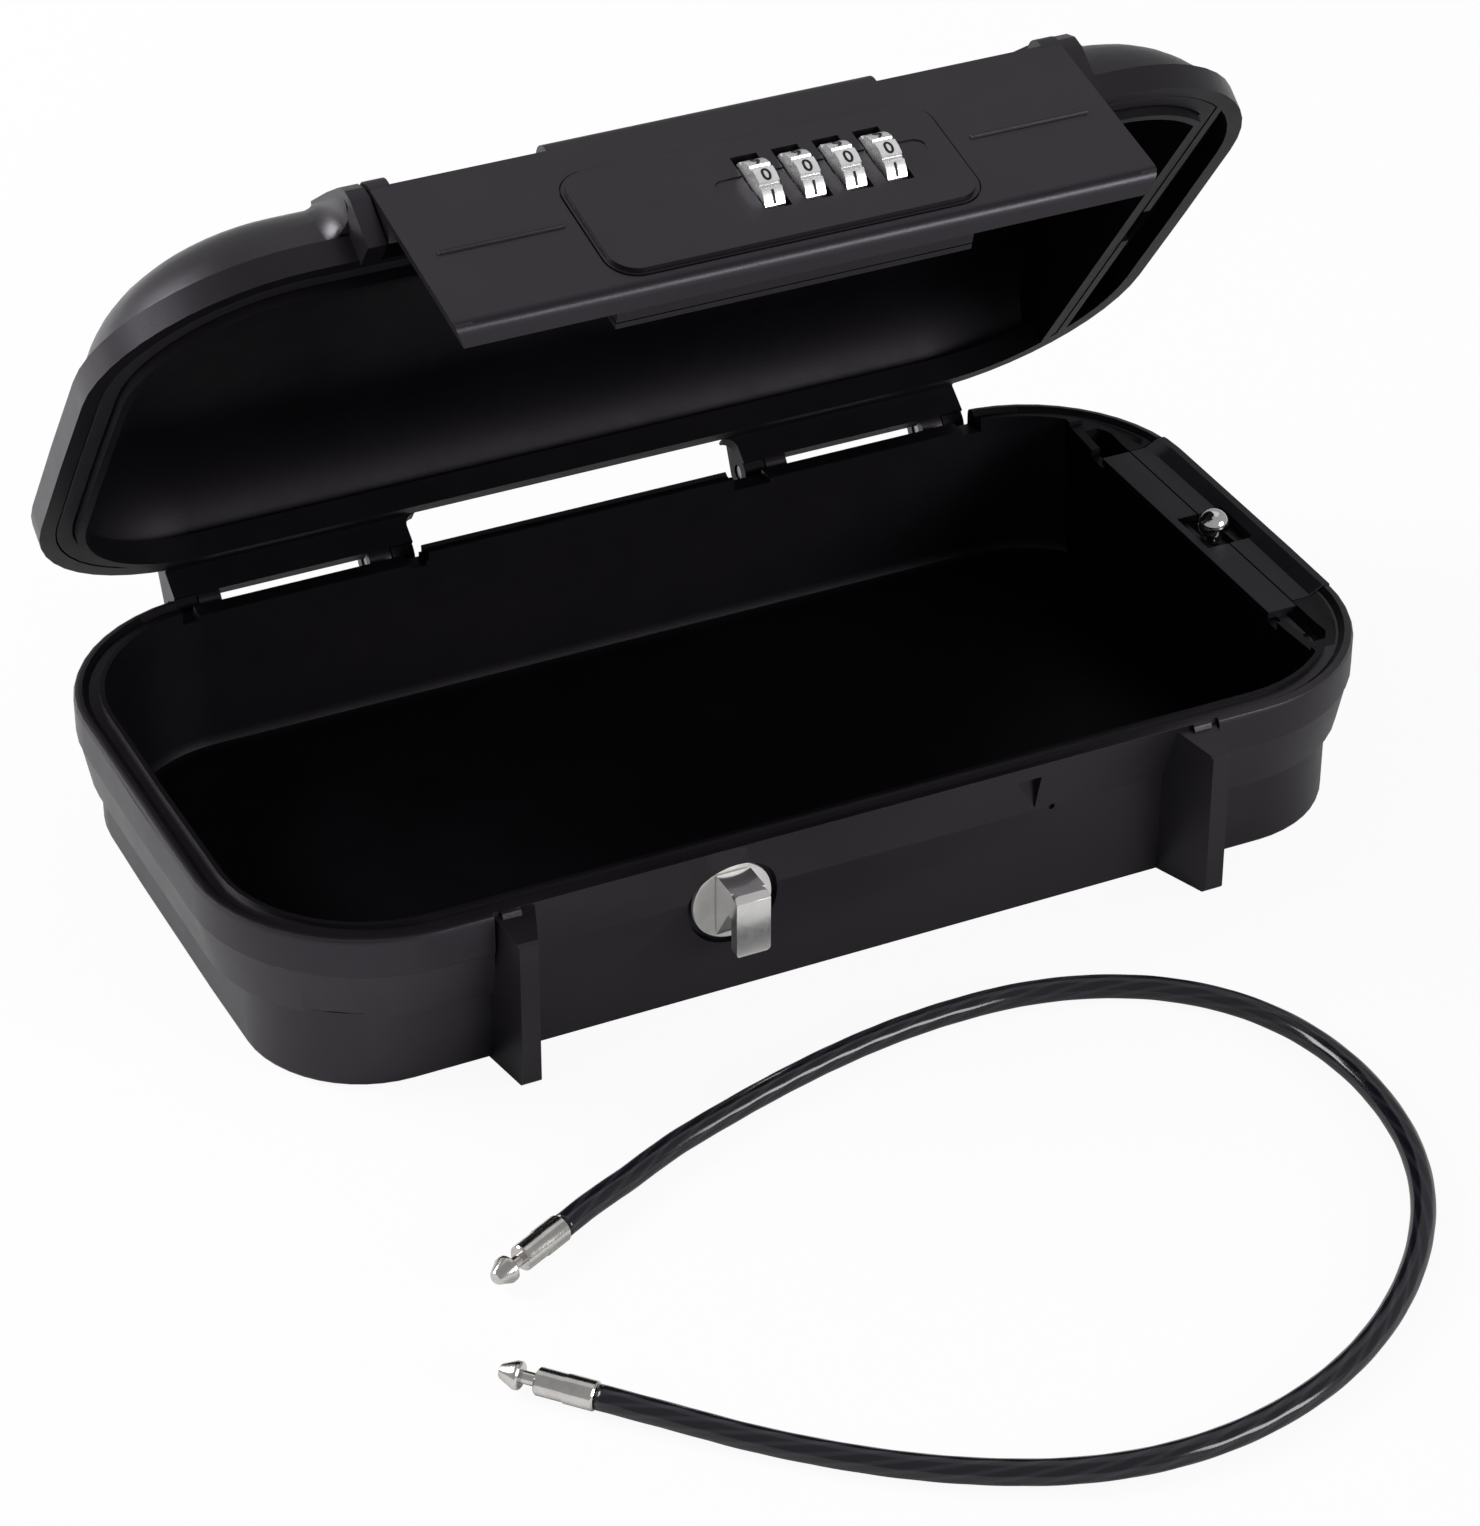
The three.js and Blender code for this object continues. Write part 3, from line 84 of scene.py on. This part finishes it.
def turn(degrees):
    """Rotation that opens the lid or the flap by an angle."""
    return Matrix.Rotation(-math.radians(degrees), 4, "X")


def place(point):
    return Matrix.Translation(Vector(point) * MM)


lid_frame = place(HINGE) @ turn(LID_OPENING) @ place([-v for v in HINGE])
flap_frame = lid_frame @ place(PIVOT) @ turn(FLAP_OPENING)


# Camera

def make_camera():
    yaw, pitch, roll = (math.radians(v) for v in (CAMERA_YAW, CAMERA_PITCH, CAMERA_ROLL))
    forward = Vector((math.sin(yaw) * math.cos(pitch), math.cos(yaw) * math.cos(pitch), -math.sin(pitch)))
    level = Vector((math.cos(yaw), -math.sin(yaw), 0))
    up = level.cross(forward)
    right = math.cos(roll) * level + math.sin(roll) * up
    up = math.cos(roll) * up - math.sin(roll) * level
    data = bpy.data.cameras.new("camera")
    data.sensor_width = SENSOR
    data.lens = FOCAL_PIXELS / PICTURE_HEIGHT * SENSOR
    data.clip_start = NEAREST_SEEN
    camera = bpy.data.objects.new("camera", data)
    bpy.context.collection.objects.link(camera)
    spin = Matrix((right, up, -forward)).transposed().to_4x4()
    camera.matrix_world = Matrix.Translation(Vector(CAMERA_PLACE) * MM) @ spin
    bpy.context.scene.camera = camera


make_camera()


# Cable

def smooth_path(points, steps):
    """Points on a smooth curve through all the given ones."""
    ends = [2 * points[0] - points[1], *points, 2 * points[-1] - points[-2]]
    path = []
    for a, b, c, d in zip(ends, ends[1:], ends[2:], ends[3:]):
        for i in range(steps):
            t = i / steps
            path.append(0.5 * (2 * b + (c - a) * t + (2 * a - 5 * b + 4 * c - d) * t ** 2
                               + (3 * b - a - 3 * c + d) * t ** 3))
    return path + [points[-1]]


def make_object(name, vertices, faces, smooth=True):
    mesh = bpy.data.meshes.new(name)
    mesh.from_pydata([tuple(v) for v in vertices], [], faces)
    mesh.validate()
    mesh.update()
    if smooth:
        mesh.shade_smooth()
    made = bpy.data.objects.new(name, mesh)
    bpy.context.collection.objects.link(made)
    return made


def unroll_cable(mesh, travels):
    """A flat map of the cable in which each wire is one unit wide."""
    wires = mesh.uv_layers.new(name="wires")
    for face in mesh.polygons:
        columns = {mesh.loops[i].vertex_index % CABLE_SIDES for i in face.loop_indices}
        for i in face.loop_indices:
            row, column = divmod(mesh.loops[i].vertex_index, CABLE_SIDES)
            if column == 0 and CABLE_SIDES - 1 in columns:
                column = CABLE_SIDES
            reach = WIRE_STRANDS * column / CABLE_SIDES - travels[row] / WIRE_TWIST
            wires.data[i].uv = (reach, travels[row] / UNROLLED_UNIT)


def make_cable():
    """The cable's tube, with the slight relief of its twisted wires, raised at both ends into the ferrules."""
    last = len(CABLE_ROUTE) - FERRULE_POINTS
    lying = CABLE_RADIUS + CABLE_CLEARANCE
    points = [Vector((x, y, FERRULE_HEIGHT if i < FERRULE_POINTS or i >= last else lying))
              for i, (x, y) in enumerate(CABLE_ROUTE)]
    path = smooth_path(points, CABLE_STEPS)
    vertices, faces, travels = [], [], []
    travelled = 0
    for i, point in enumerate(path):
        before, after = path[max(i - 1, 0)], path[min(i + 1, len(path) - 1)]
        if i:
            travelled += (point - before).length
        travels.append(travelled)
        along = (after - before).normalized()
        side = along.cross(Vector((0, 0, 1))).normalized()
        up = side.cross(along)
        for j in range(CABLE_SIDES):
            angle = 2 * math.pi * j / CABLE_SIDES
            strand = WIRE_STRANDS * (angle - 2 * math.pi * travelled / (WIRE_TWIST * WIRE_STRANDS))
            radius = CABLE_RADIUS - WIRE_RELIEF * (1 - abs(math.cos(strand / 2)))
            vertices.append((point + (side * math.cos(angle) + up * math.sin(angle)) * radius) * MM)
    for i in range(len(path) - 1):
        for j in range(CABLE_SIDES):
            k = (j + 1) % CABLE_SIDES
            a, b = i * CABLE_SIDES, (i + 1) * CABLE_SIDES
            faces.append((a + j, b + j, b + k, a + k))
    first_of_last = (len(path) - 1) * CABLE_SIDES
    faces.append(tuple(range(CABLE_SIDES)))
    faces.append(tuple(range(first_of_last + CABLE_SIDES - 1, first_of_last - 1, -1)))
    cable = make_object("cable_tube", vertices, faces)
    unroll_cable(cable.data, travels)
    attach(cable, "base")
    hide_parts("cable")
    return cable


cable = make_cable()


# Materials: sizes of their patterns as repeats per metre, depths of their relief in metres

PLASTIC_SHADE = 45
PLASTIC_GLOSS = 120
PLASTIC_GRAIN = 2600
GRAIN_STRENGTH = 0.5
PLASTIC_UNEVEN = 0.06
METAL_TINT = 300
METAL_STREAKS = 900
METAL_RELIEF = 1400
METAL_RELIEF_DEPTH = 0.00002
METAL_RELIEF_STRENGTH = 0.06
METAL_SMOOTHER = 0.06
METAL_ROUGHER = 0.08
METAL_SMOOTHEST = 0.02
CABLE_WANDER = 90
CABLE_GLOSS = 200
CABLE_UNEVEN = 0.04
CABLE_RELIEF_DEPTH = 0.00001
CABLE_RELIEF_STRENGTH = 0.3
SHEEN_TINT = (0.95, 0.87, 1.0, 1)


def new_material(name):
    material = bpy.data.materials.new(name)
    material.use_nodes = True
    nodes, links = material.node_tree.nodes, material.node_tree.links
    shader = nodes["Principled BSDF"]
    where = nodes.new("ShaderNodeTexCoord")
    return material, nodes, links, shader, where.outputs["Object"]


def noise(nodes, links, where, scale, detail=3, rough=0.55):
    texture = nodes.new("ShaderNodeTexNoise")
    texture.inputs["Scale"].default_value = scale
    texture.inputs["Detail"].default_value = detail
    texture.inputs["Roughness"].default_value = rough
    links.new(where, texture.inputs["Vector"])
    return texture.outputs["Fac"]


def ramp(nodes, links, value, low, high, start=0.35, end=0.65):
    steps = nodes.new("ShaderNodeValToRGB")
    steps.color_ramp.elements[0].position = start
    steps.color_ramp.elements[1].position = end
    steps.color_ramp.elements[0].color = (*low, 1)
    steps.color_ramp.elements[1].color = (*high, 1)
    links.new(value, steps.inputs["Fac"])
    return steps.outputs["Color"]


def spread(nodes, links, value, low, high):
    reach = nodes.new("ShaderNodeMapRange")
    reach.inputs["To Min"].default_value = low
    reach.inputs["To Max"].default_value = high
    links.new(value, reach.inputs["Value"])
    return reach.outputs["Result"]


def bump(nodes, links, shader, height, strength, distance):
    relief = nodes.new("ShaderNodeBump")
    relief.inputs["Strength"].default_value = strength
    relief.inputs["Distance"].default_value = distance
    links.new(height, relief.inputs["Height"])
    links.new(relief.outputs["Normal"], shader.inputs["Normal"])


def plastic(name, low, high, rough, specular, grain=0.00004):
    """Moulded plastic: slow changes of shade and gloss, and a fine grain."""
    material, nodes, links, shader, where = new_material(name)
    shade = noise(nodes, links, where, PLASTIC_SHADE)
    gloss = noise(nodes, links, where, PLASTIC_GLOSS)
    links.new(ramp(nodes, links, shade, low, high), shader.inputs["Base Color"])
    links.new(spread(nodes, links, gloss, rough - PLASTIC_UNEVEN, rough + PLASTIC_UNEVEN), shader.inputs["Roughness"])
    shader.inputs["Specular IOR Level"].default_value = specular
    shader.inputs["Specular Tint"].default_value = SHEEN_TINT
    bump(nodes, links, shader, noise(nodes, links, where, PLASTIC_GRAIN, 2), GRAIN_STRENGTH, grain)
    return material


def metal(name, low, high, rough, metallic=1):
    """Plated metal: fine streaks in its gloss and small changes of tint."""
    material, nodes, links, shader, where = new_material(name)
    tint = noise(nodes, links, where, METAL_TINT)
    streaks = noise(nodes, links, where, METAL_STREAKS, 4)
    smoothest = max(rough - METAL_SMOOTHER, METAL_SMOOTHEST)
    links.new(ramp(nodes, links, tint, low, high), shader.inputs["Base Color"])
    links.new(spread(nodes, links, streaks, smoothest, rough + METAL_ROUGHER), shader.inputs["Roughness"])
    shader.inputs["Metallic"].default_value = metallic
    relief = noise(nodes, links, where, METAL_RELIEF, 3)
    bump(nodes, links, shader, relief, METAL_RELIEF_STRENGTH, METAL_RELIEF_DEPTH)
    return material


def coating(name, low, high, rough, specular):
    """Clear dark coating over twisted wires, which show as slanting bands."""
    material, nodes, links, shader, where = new_material(name)
    across = nodes.new("ShaderNodeSeparateXYZ")
    links.new(where.node.outputs["UV"], across.inputs[0])
    turns = nodes.new("ShaderNodeMath")
    turns.operation = "MULTIPLY_ADD"
    turns.inputs[1].default_value = 2 * math.pi
    links.new(across.outputs["X"], turns.inputs[0])
    links.new(noise(nodes, links, where, CABLE_WANDER), turns.inputs[2])
    wave = nodes.new("ShaderNodeMath")
    wave.operation = "SINE"
    links.new(turns.outputs[0], wave.inputs[0])
    links.new(ramp(nodes, links, wave.outputs[0], low, high, 0, 1), shader.inputs["Base Color"])
    gloss = noise(nodes, links, where, CABLE_GLOSS)
    links.new(spread(nodes, links, gloss, rough - CABLE_UNEVEN, rough + CABLE_UNEVEN), shader.inputs["Roughness"])
    shader.inputs["Specular IOR Level"].default_value = specular
    grain = noise(nodes, links, where, PLASTIC_GRAIN, 2)
    bump(nodes, links, shader, grain, CABLE_RELIEF_STRENGTH, CABLE_RELIEF_DEPTH)
    return material


BLACK = plastic("black_plastic", (0.0052, 0.0042, 0.0058), (0.0072, 0.0059, 0.0079), 0.34, 0.5)
# Darker, less glossy plastic for the insides of the tray and the lid: painted shade in the hollows, with a rougher
# finish
PAINTED_SHADE = plastic("painted_shade_plastic", (0.0022, 0.0018, 0.0026), (0.0034, 0.0028, 0.004), 0.48, 0.18)
DARK = plastic("dark_plastic", (0.004, 0.0033, 0.0045), (0.006, 0.005, 0.0066), 0.44, 0.4)
RUBBER = plastic("seal_rubber", (0.004, 0.0034, 0.0044), (0.006, 0.0052, 0.0065), 0.6, 0.3, 0.00002)
COATING = coating("cable_coating", (0.007, 0.0065, 0.0095), (0.02, 0.019, 0.028), 0.15, 0.5)
CHROME = metal("chrome", (0.78, 0.77, 0.76), (0.88, 0.87, 0.86), 0.12)
NICKEL = metal("nickel", (0.6, 0.58, 0.56), (0.72, 0.7, 0.68), 0.16)
DISC = metal("disc_nickel", (0.84, 0.83, 0.81), (0.92, 0.91, 0.89), 0.34, metallic=0.45)
HOOK = metal("hook_chrome", (0.9, 0.89, 0.88), (0.96, 0.95, 0.94), 0.14, metallic=0.82)
DIAL = metal("dial_metal", (0.8, 0.8, 0.81), (0.9, 0.9, 0.91), 0.26, metallic=0.75)
PAINT = plastic("digit_paint", (0.004, 0.004, 0.004), (0.008, 0.008, 0.008), 0.5, 0.4, 0.00001)
STEEL = metal("steel", (0.34, 0.34, 0.35), (0.5, 0.5, 0.51), 0.35)

SLOTS = {
    "black_plastic": BLACK, "dark_plastic": DARK, "seal_rubber": RUBBER, "cable_coating": COATING,
    "chrome": CHROME, "nickel": NICKEL, "steel": STEEL,
}


def paint(thing, material):
    thing.data.materials.clear()
    thing.data.materials.append(material)


node_slot = {part["node"]: part["material_slot"] for part in frame["record"]["subparts"]}
for node, thing in frame["nodes"].items():
    paint(thing, DIAL if node.startswith("dial_wheel") else SLOTS[node_slot[node]])
paint(frame["nodes"]["hook_disc"], DISC)
paint(frame["nodes"]["latch_hook"], HOOK)
paint(cable, COATING)


# Edges and painted shade inside the frame's nodes: widths in millimetres, angles in degrees, places in metres

JOIN_DISTANCE = 0.002
FLAT_ANGLE = 0.6
BEVEL_ANGLE = 28
BEVEL_STEPS = 2
SMOOTH_ANGLE = 33
TRAY_FLOOR_TOP = 0.012
TRAY_HALF_DEPTH = 0.0605
FACES_UP = 0.5
LID_FACES_DOWN = -0.25
LID_MIDDLE = (0, 0, 0.04)


def new_group(name):
    group = bpy.data.node_groups.new(name, "GeometryNodeTree")
    group.interface.new_socket("Geometry", in_out="INPUT", socket_type="NodeSocketGeometry")
    group.interface.new_socket("Geometry", in_out="OUTPUT", socket_type="NodeSocketGeometry")
    start = group.nodes.new("NodeGroupInput").outputs["Geometry"]
    end = group.nodes.new("NodeGroupOutput").inputs["Geometry"]
    return group, start, end


def joined_faces():
    """A node group that joins the loose triangles of a node and drops their own normals."""
    group, start, end = new_group("joined faces")
    merge = group.nodes.new("GeometryNodeMergeByDistance")
    merge.inputs["Distance"].default_value = JOIN_DISTANCE * MM
    plain = group.nodes.new("GeometryNodeRemoveAttribute")
    plain.inputs["Name"].default_value = "custom_normal"
    group.links.new(start, plain.inputs["Geometry"])
    group.links.new(plain.outputs["Geometry"], merge.inputs["Geometry"])
    group.links.new(merge.outputs["Geometry"], end)
    return group


def smooth_by_angle(limit):
    """A node group that shades smooth all edges flatter than an angle."""
    group, start, end = new_group("smooth by angle")
    faces = group.nodes.new("GeometryNodeSetShadeSmooth")
    edges = group.nodes.new("GeometryNodeSetShadeSmooth")
    edges.domain = "EDGE"
    edges.inputs["Shade Smooth"].default_value = False
    angle = group.nodes.new("GeometryNodeInputMeshEdgeAngle")
    sharp = group.nodes.new("FunctionNodeCompare")
    sharp.operation = "GREATER_THAN"
    sharp.inputs["B"].default_value = math.radians(limit)
    group.links.new(angle.outputs["Unsigned Angle"], sharp.inputs["A"])
    group.links.new(sharp.outputs["Result"], edges.inputs["Selection"])
    group.links.new(start, faces.inputs["Geometry"])
    group.links.new(faces.outputs["Geometry"], edges.inputs["Geometry"])
    group.links.new(edges.outputs["Geometry"], end)
    return group


def along(nodes, links, vector, axis):
    """How far a vector reaches along an axis."""
    product = nodes.new("ShaderNodeVectorMath")
    product.operation = "DOT_PRODUCT"
    links.new(vector, product.inputs[0])
    product.inputs[1].default_value = axis
    return product.outputs["Value"]


def calculate(nodes, links, operation, *values):
    step = nodes.new("ShaderNodeMath")
    step.operation = operation
    for socket, value in zip(step.inputs, values):
        if isinstance(value, (int, float)):
            socket.default_value = value
        else:
            links.new(value, socket)
    return step.outputs[0]


def turned_inwards(nodes, links, where, facing, centre, axis):
    """1 on walls that face the middle of a hollow shell, across X and one more axis."""
    across = calculate(nodes, links, "SUBTRACT", along(nodes, links, where, axis), Vector(centre).dot(axis))
    by_x = calculate(nodes, links, "MULTIPLY", along(nodes, links, where, (1, 0, 0)),
                     along(nodes, links, facing, (1, 0, 0)))
    by_axis = calculate(nodes, links, "MULTIPLY", across, along(nodes, links, facing, axis))
    return calculate(nodes, links, "LESS_THAN", calculate(nodes, links, "ADD", by_x, by_axis), 0)


def inside_tray(nodes, links, where, facing):
    """1 on the tray's walls and floor that show from above."""
    walls = turned_inwards(nodes, links, where, facing, (0, 0, 0), (0, 1, 0))
    low = calculate(nodes, links, "LESS_THAN", along(nodes, links, where, (0, 0, 1)), TRAY_FLOOR_TOP)
    up = calculate(nodes, links, "GREATER_THAN", along(nodes, links, facing, (0, 0, 1)), FACES_UP)
    floor = calculate(nodes, links, "MULTIPLY", low, up)
    reach = calculate(nodes, links, "ABSOLUTE", along(nodes, links, where, (0, 1, 0)))
    near = calculate(nodes, links, "LESS_THAN", reach, TRAY_HALF_DEPTH)
    return calculate(nodes, links, "MULTIPLY", calculate(nodes, links, "MAXIMUM", walls, floor), near)


def inside_lid(nodes, links, where, facing):
    """1 on the lid's walls and on what faces down when the lid is shut."""
    spin = lid_frame.to_3x3()
    middle = lid_frame @ Vector(LID_MIDDLE)
    walls = turned_inwards(nodes, links, where, facing, middle, spin @ Vector((0, 1, 0)))
    upwards = along(nodes, links, facing, spin @ Vector((0, 0, 1)))
    down = calculate(nodes, links, "LESS_THAN", upwards, LID_FACES_DOWN)
    return calculate(nodes, links, "MAXIMUM", walls, down)


def darker_inside(name, inside):
    """A node group that gives the inside of a shell a darker, less glossy plastic: painted shade in the hollow."""
    group, start, end = new_group(name)
    where = group.nodes.new("GeometryNodeInputPosition").outputs[0]
    facing = group.nodes.new("GeometryNodeInputNormal").outputs[0]
    change = group.nodes.new("GeometryNodeSetMaterial")
    change.inputs["Material"].default_value = PAINTED_SHADE
    group.links.new(start, change.inputs["Geometry"])
    group.links.new(inside(group.nodes, group.links, where, facing), change.inputs["Selection"])
    group.links.new(change.outputs["Geometry"], end)
    return group


JOINED = joined_faces()
SMOOTH = smooth_by_angle(SMOOTH_ANGLE)
# Node groups that put the painted shade on the insides of the tray and the lid
PAINTED_SHADE_GROUPS = {
    "base_shell": darker_inside("tray painted shade", inside_tray), "lid_shell": darker_inside("lid painted shade", inside_lid),
}


def soften(thing, width, inside=None):
    """Small rounded edges, painted shade on the inside if there is one, and smooth shading on what is round."""
    thing.modifiers.new("joined", "NODES").node_group = JOINED
    flat = thing.modifiers.new("flat", "DECIMATE")
    flat.decimate_type = "DISSOLVE"
    flat.angle_limit = math.radians(FLAT_ANGLE)
    if width:
        edge = thing.modifiers.new("edges", "BEVEL")
        edge.width = width * MM
        edge.segments = BEVEL_STEPS
        edge.limit_method = "ANGLE"
        edge.angle_limit = math.radians(BEVEL_ANGLE)
    # Painted shade: the inside takes the darker, less glossy plastic
    if inside:
        thing.data.materials.append(PAINTED_SHADE)
        thing.modifiers.new("inside", "NODES").node_group = inside
    thing.modifiers.new("smooth", "NODES").node_group = SMOOTH
    weight = thing.modifiers.new("normals", "WEIGHTED_NORMAL")
    weight.keep_sharp = True


EDGE_WIDTHS = {
    "base_shell": 0.45, "lid_shell": 0.45, "flap_cover": 0.45, "dial_plate": 0.35, "lock_case": 0.3,
    "lock_back_cover": 0.3, "latch_hook": 0.6, "hook_disc": 0.3, "end_cover": 0.12, "cable_lock_slide": 0.12,
    "catch_slide": 0.2, "lid_seal": 0.3, "reset_lever": 0.15, "hook_nut": 0.2, "hook_washer": 0.1,
}
EDGE_WIDTHS |= {f"dial_wheel_{i}": 0.1 for i in range(1, DIALS + 1)}
for node, thing in frame["nodes"].items():
    soften(thing, EDGE_WIDTHS.get(node, 0), PAINTED_SHADE_GROUPS.get(node))


# Digits on the dials, in millimetres

DIAL_FIRST_X = -2.4
DIAL_PITCH = 8.37
DIAL_PLACE = (-0.4, -21.9)
DIAL_RADIUS = 7.3
DIAL_TURN = -6
DIGITS = 10
DIGIT_HEIGHT = 2.7
DIGIT_SHARE_OF_SIZE = 0.7
DIGIT_BOLDER = 0.06
DIGIT_CURVE_STEPS = 4
DIGIT_PROUD = 0.03
DIGIT_FINENESS = 0.45
MOST_SPLITS = 4
JOIN_DIGIT_POINTS = 0.001


def digit_shape(digit):
    """A digit's flat triangles, small enough to follow a dial's curve."""
    text = bpy.data.curves.new("digit", "FONT")
    text.body = digit
    text.align_x = "CENTER"
    text.size = DIGIT_HEIGHT / DIGIT_SHARE_OF_SIZE
    text.offset = DIGIT_BOLDER
    text.resolution_u = DIGIT_CURVE_STEPS
    holder = bpy.data.objects.new("digit", text)
    mesh = bpy.data.meshes.new_from_object(holder)
    bpy.data.objects.remove(holder)
    shape = bmesh.new()
    shape.from_mesh(mesh)
    bpy.data.meshes.remove(mesh)
    bmesh.ops.remove_doubles(shape, verts=shape.verts, dist=JOIN_DIGIT_POINTS)
    for _ in range(MOST_SPLITS):
        bmesh.ops.triangulate(shape, faces=shape.faces)
        long_edges = [edge for edge in shape.edges if edge.calc_length() > DIGIT_FINENESS]
        if not long_edges:
            break
        bmesh.ops.subdivide_edges(shape, edges=long_edges, cuts=1)
    bmesh.ops.triangulate(shape, faces=shape.faces)
    shape.verts.index_update()
    vertices = [(v.co.x, v.co.y - DIGIT_HEIGHT / 2) for v in shape.verts]
    faces = [[v.index for v in face.verts] for face in shape.faces]
    shape.free()
    return vertices, faces


def make_digits(dial, shapes):
    """All ten digits of a dial, wrapped round it."""
    middle = DIAL_FIRST_X + dial * DIAL_PITCH
    vertices, faces = [], []
    radius = DIAL_RADIUS + DIGIT_PROUD
    for spot in range(DIGITS):
        outline, triangles = shapes[(spot + DIGITS // 2) % DIGITS]
        face_angle = math.radians(360 / DIGITS * (spot + 0.5) + DIAL_TURN)
        first = len(vertices)
        for x, up in outline:
            angle = face_angle - up / DIAL_RADIUS
            y = DIAL_PLACE[0] + radius * math.cos(angle)
            z = DIAL_PLACE[1] + radius * math.sin(angle)
            vertices.append(flap_frame @ (Vector((middle + x, y, z)) * MM))
        faces += [[first + i for i in triangle] for triangle in triangles]
    digits = make_object(f"dial_{dial + 1}_digits", vertices, faces)
    paint(digits, PAINT)
    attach(digits, f"dial_{dial + 1}")


digit_shapes = [digit_shape(str(i)) for i in range(DIGITS)]
for dial in range(DIALS):
    make_digits(dial, digit_shapes)


# Surroundings, in metres

FLOOR_REACH = 6
FLOOR_DROP = 0.0002
FLOOR_WHITE = 0.93
FLOOR_COLOUR = 0.85
SKY_LEVEL = 0.35


def make_floor():
    """A floor that the camera sees as white apart from the shadow on it."""
    corners = [(x * FLOOR_REACH, y * FLOOR_REACH, 0) for x, y in ((-1, -1), (1, -1), (1, 1), (-1, 1))]
    floor = make_object("floor", corners, [(0, 1, 2, 3)], smooth=False)
    floor.location.z = -FLOOR_DROP
    material = bpy.data.materials.new("floor")
    material.use_nodes = True
    nodes, links = material.node_tree.nodes, material.node_tree.links
    nodes.clear()
    out = nodes.new("ShaderNodeOutputMaterial")
    matte = nodes.new("ShaderNodeBsdfDiffuse")
    matte.inputs["Color"].default_value = (FLOOR_COLOUR, FLOOR_COLOUR, FLOOR_COLOUR, 1)
    white = nodes.new("ShaderNodeEmission")
    mix = nodes.new("ShaderNodeMixShader")
    ways = nodes.new("ShaderNodeLightPath")
    share = nodes.new("ShaderNodeMath")
    share.operation = "MULTIPLY"
    share.inputs[1].default_value = FLOOR_WHITE
    links.new(ways.outputs["Is Camera Ray"], share.inputs[0])
    links.new(share.outputs[0], mix.inputs["Fac"])
    links.new(matte.outputs[0], mix.inputs[1])
    links.new(white.outputs[0], mix.inputs[2])
    links.new(mix.outputs[0], out.inputs["Surface"])
    paint(floor, material)


def make_world():
    """A dim even light from all sides, which the camera sees as white."""
    world = bpy.data.worlds.new("world")
    bpy.context.scene.world = world
    world.use_nodes = True
    nodes, links = world.node_tree.nodes, world.node_tree.links
    light = nodes["Background"]
    light.inputs["Color"].default_value = (1, 1, 1, 1)
    ways = nodes.new("ShaderNodeLightPath")
    level = nodes.new("ShaderNodeMapRange")
    level.inputs["To Min"].default_value = SKY_LEVEL
    level.inputs["To Max"].default_value = 1.0
    links.new(ways.outputs["Is Camera Ray"], level.inputs["Value"])
    links.new(level.outputs["Result"], light.inputs["Strength"])


def make_lamp(name, spot, aim, size, power):
    """A flat lamp: its place, the point that it faces, its size and its power."""
    data = bpy.data.lights.new(name, "AREA")
    data.shape = "RECTANGLE"
    data.size, data.size_y = size
    data.energy = power
    lamp = bpy.data.objects.new(name, data)
    bpy.context.collection.objects.link(lamp)
    lamp.location = spot
    lamp.rotation_mode = "QUATERNION"
    lamp.rotation_quaternion = (Vector(aim) - Vector(spot)).to_track_quat("-Z", "Y")
    lamp.visible_camera = False


make_floor()
make_world()
make_lamp("back", (-1.05, 0.8, 0.8), (0, 0, 0.05), (0.9, 0.7), 22)
make_lamp("top", (0.35, 0.45, 1.3), (0, 0, 0.05), (1.4, 1.2), 1.7)
make_lamp("front", (0.9, -1.3, 0.5), (0, 0, 0.08), (0.9, 0.5), 14)

bpy.context.scene.view_settings.view_transform = "Standard"
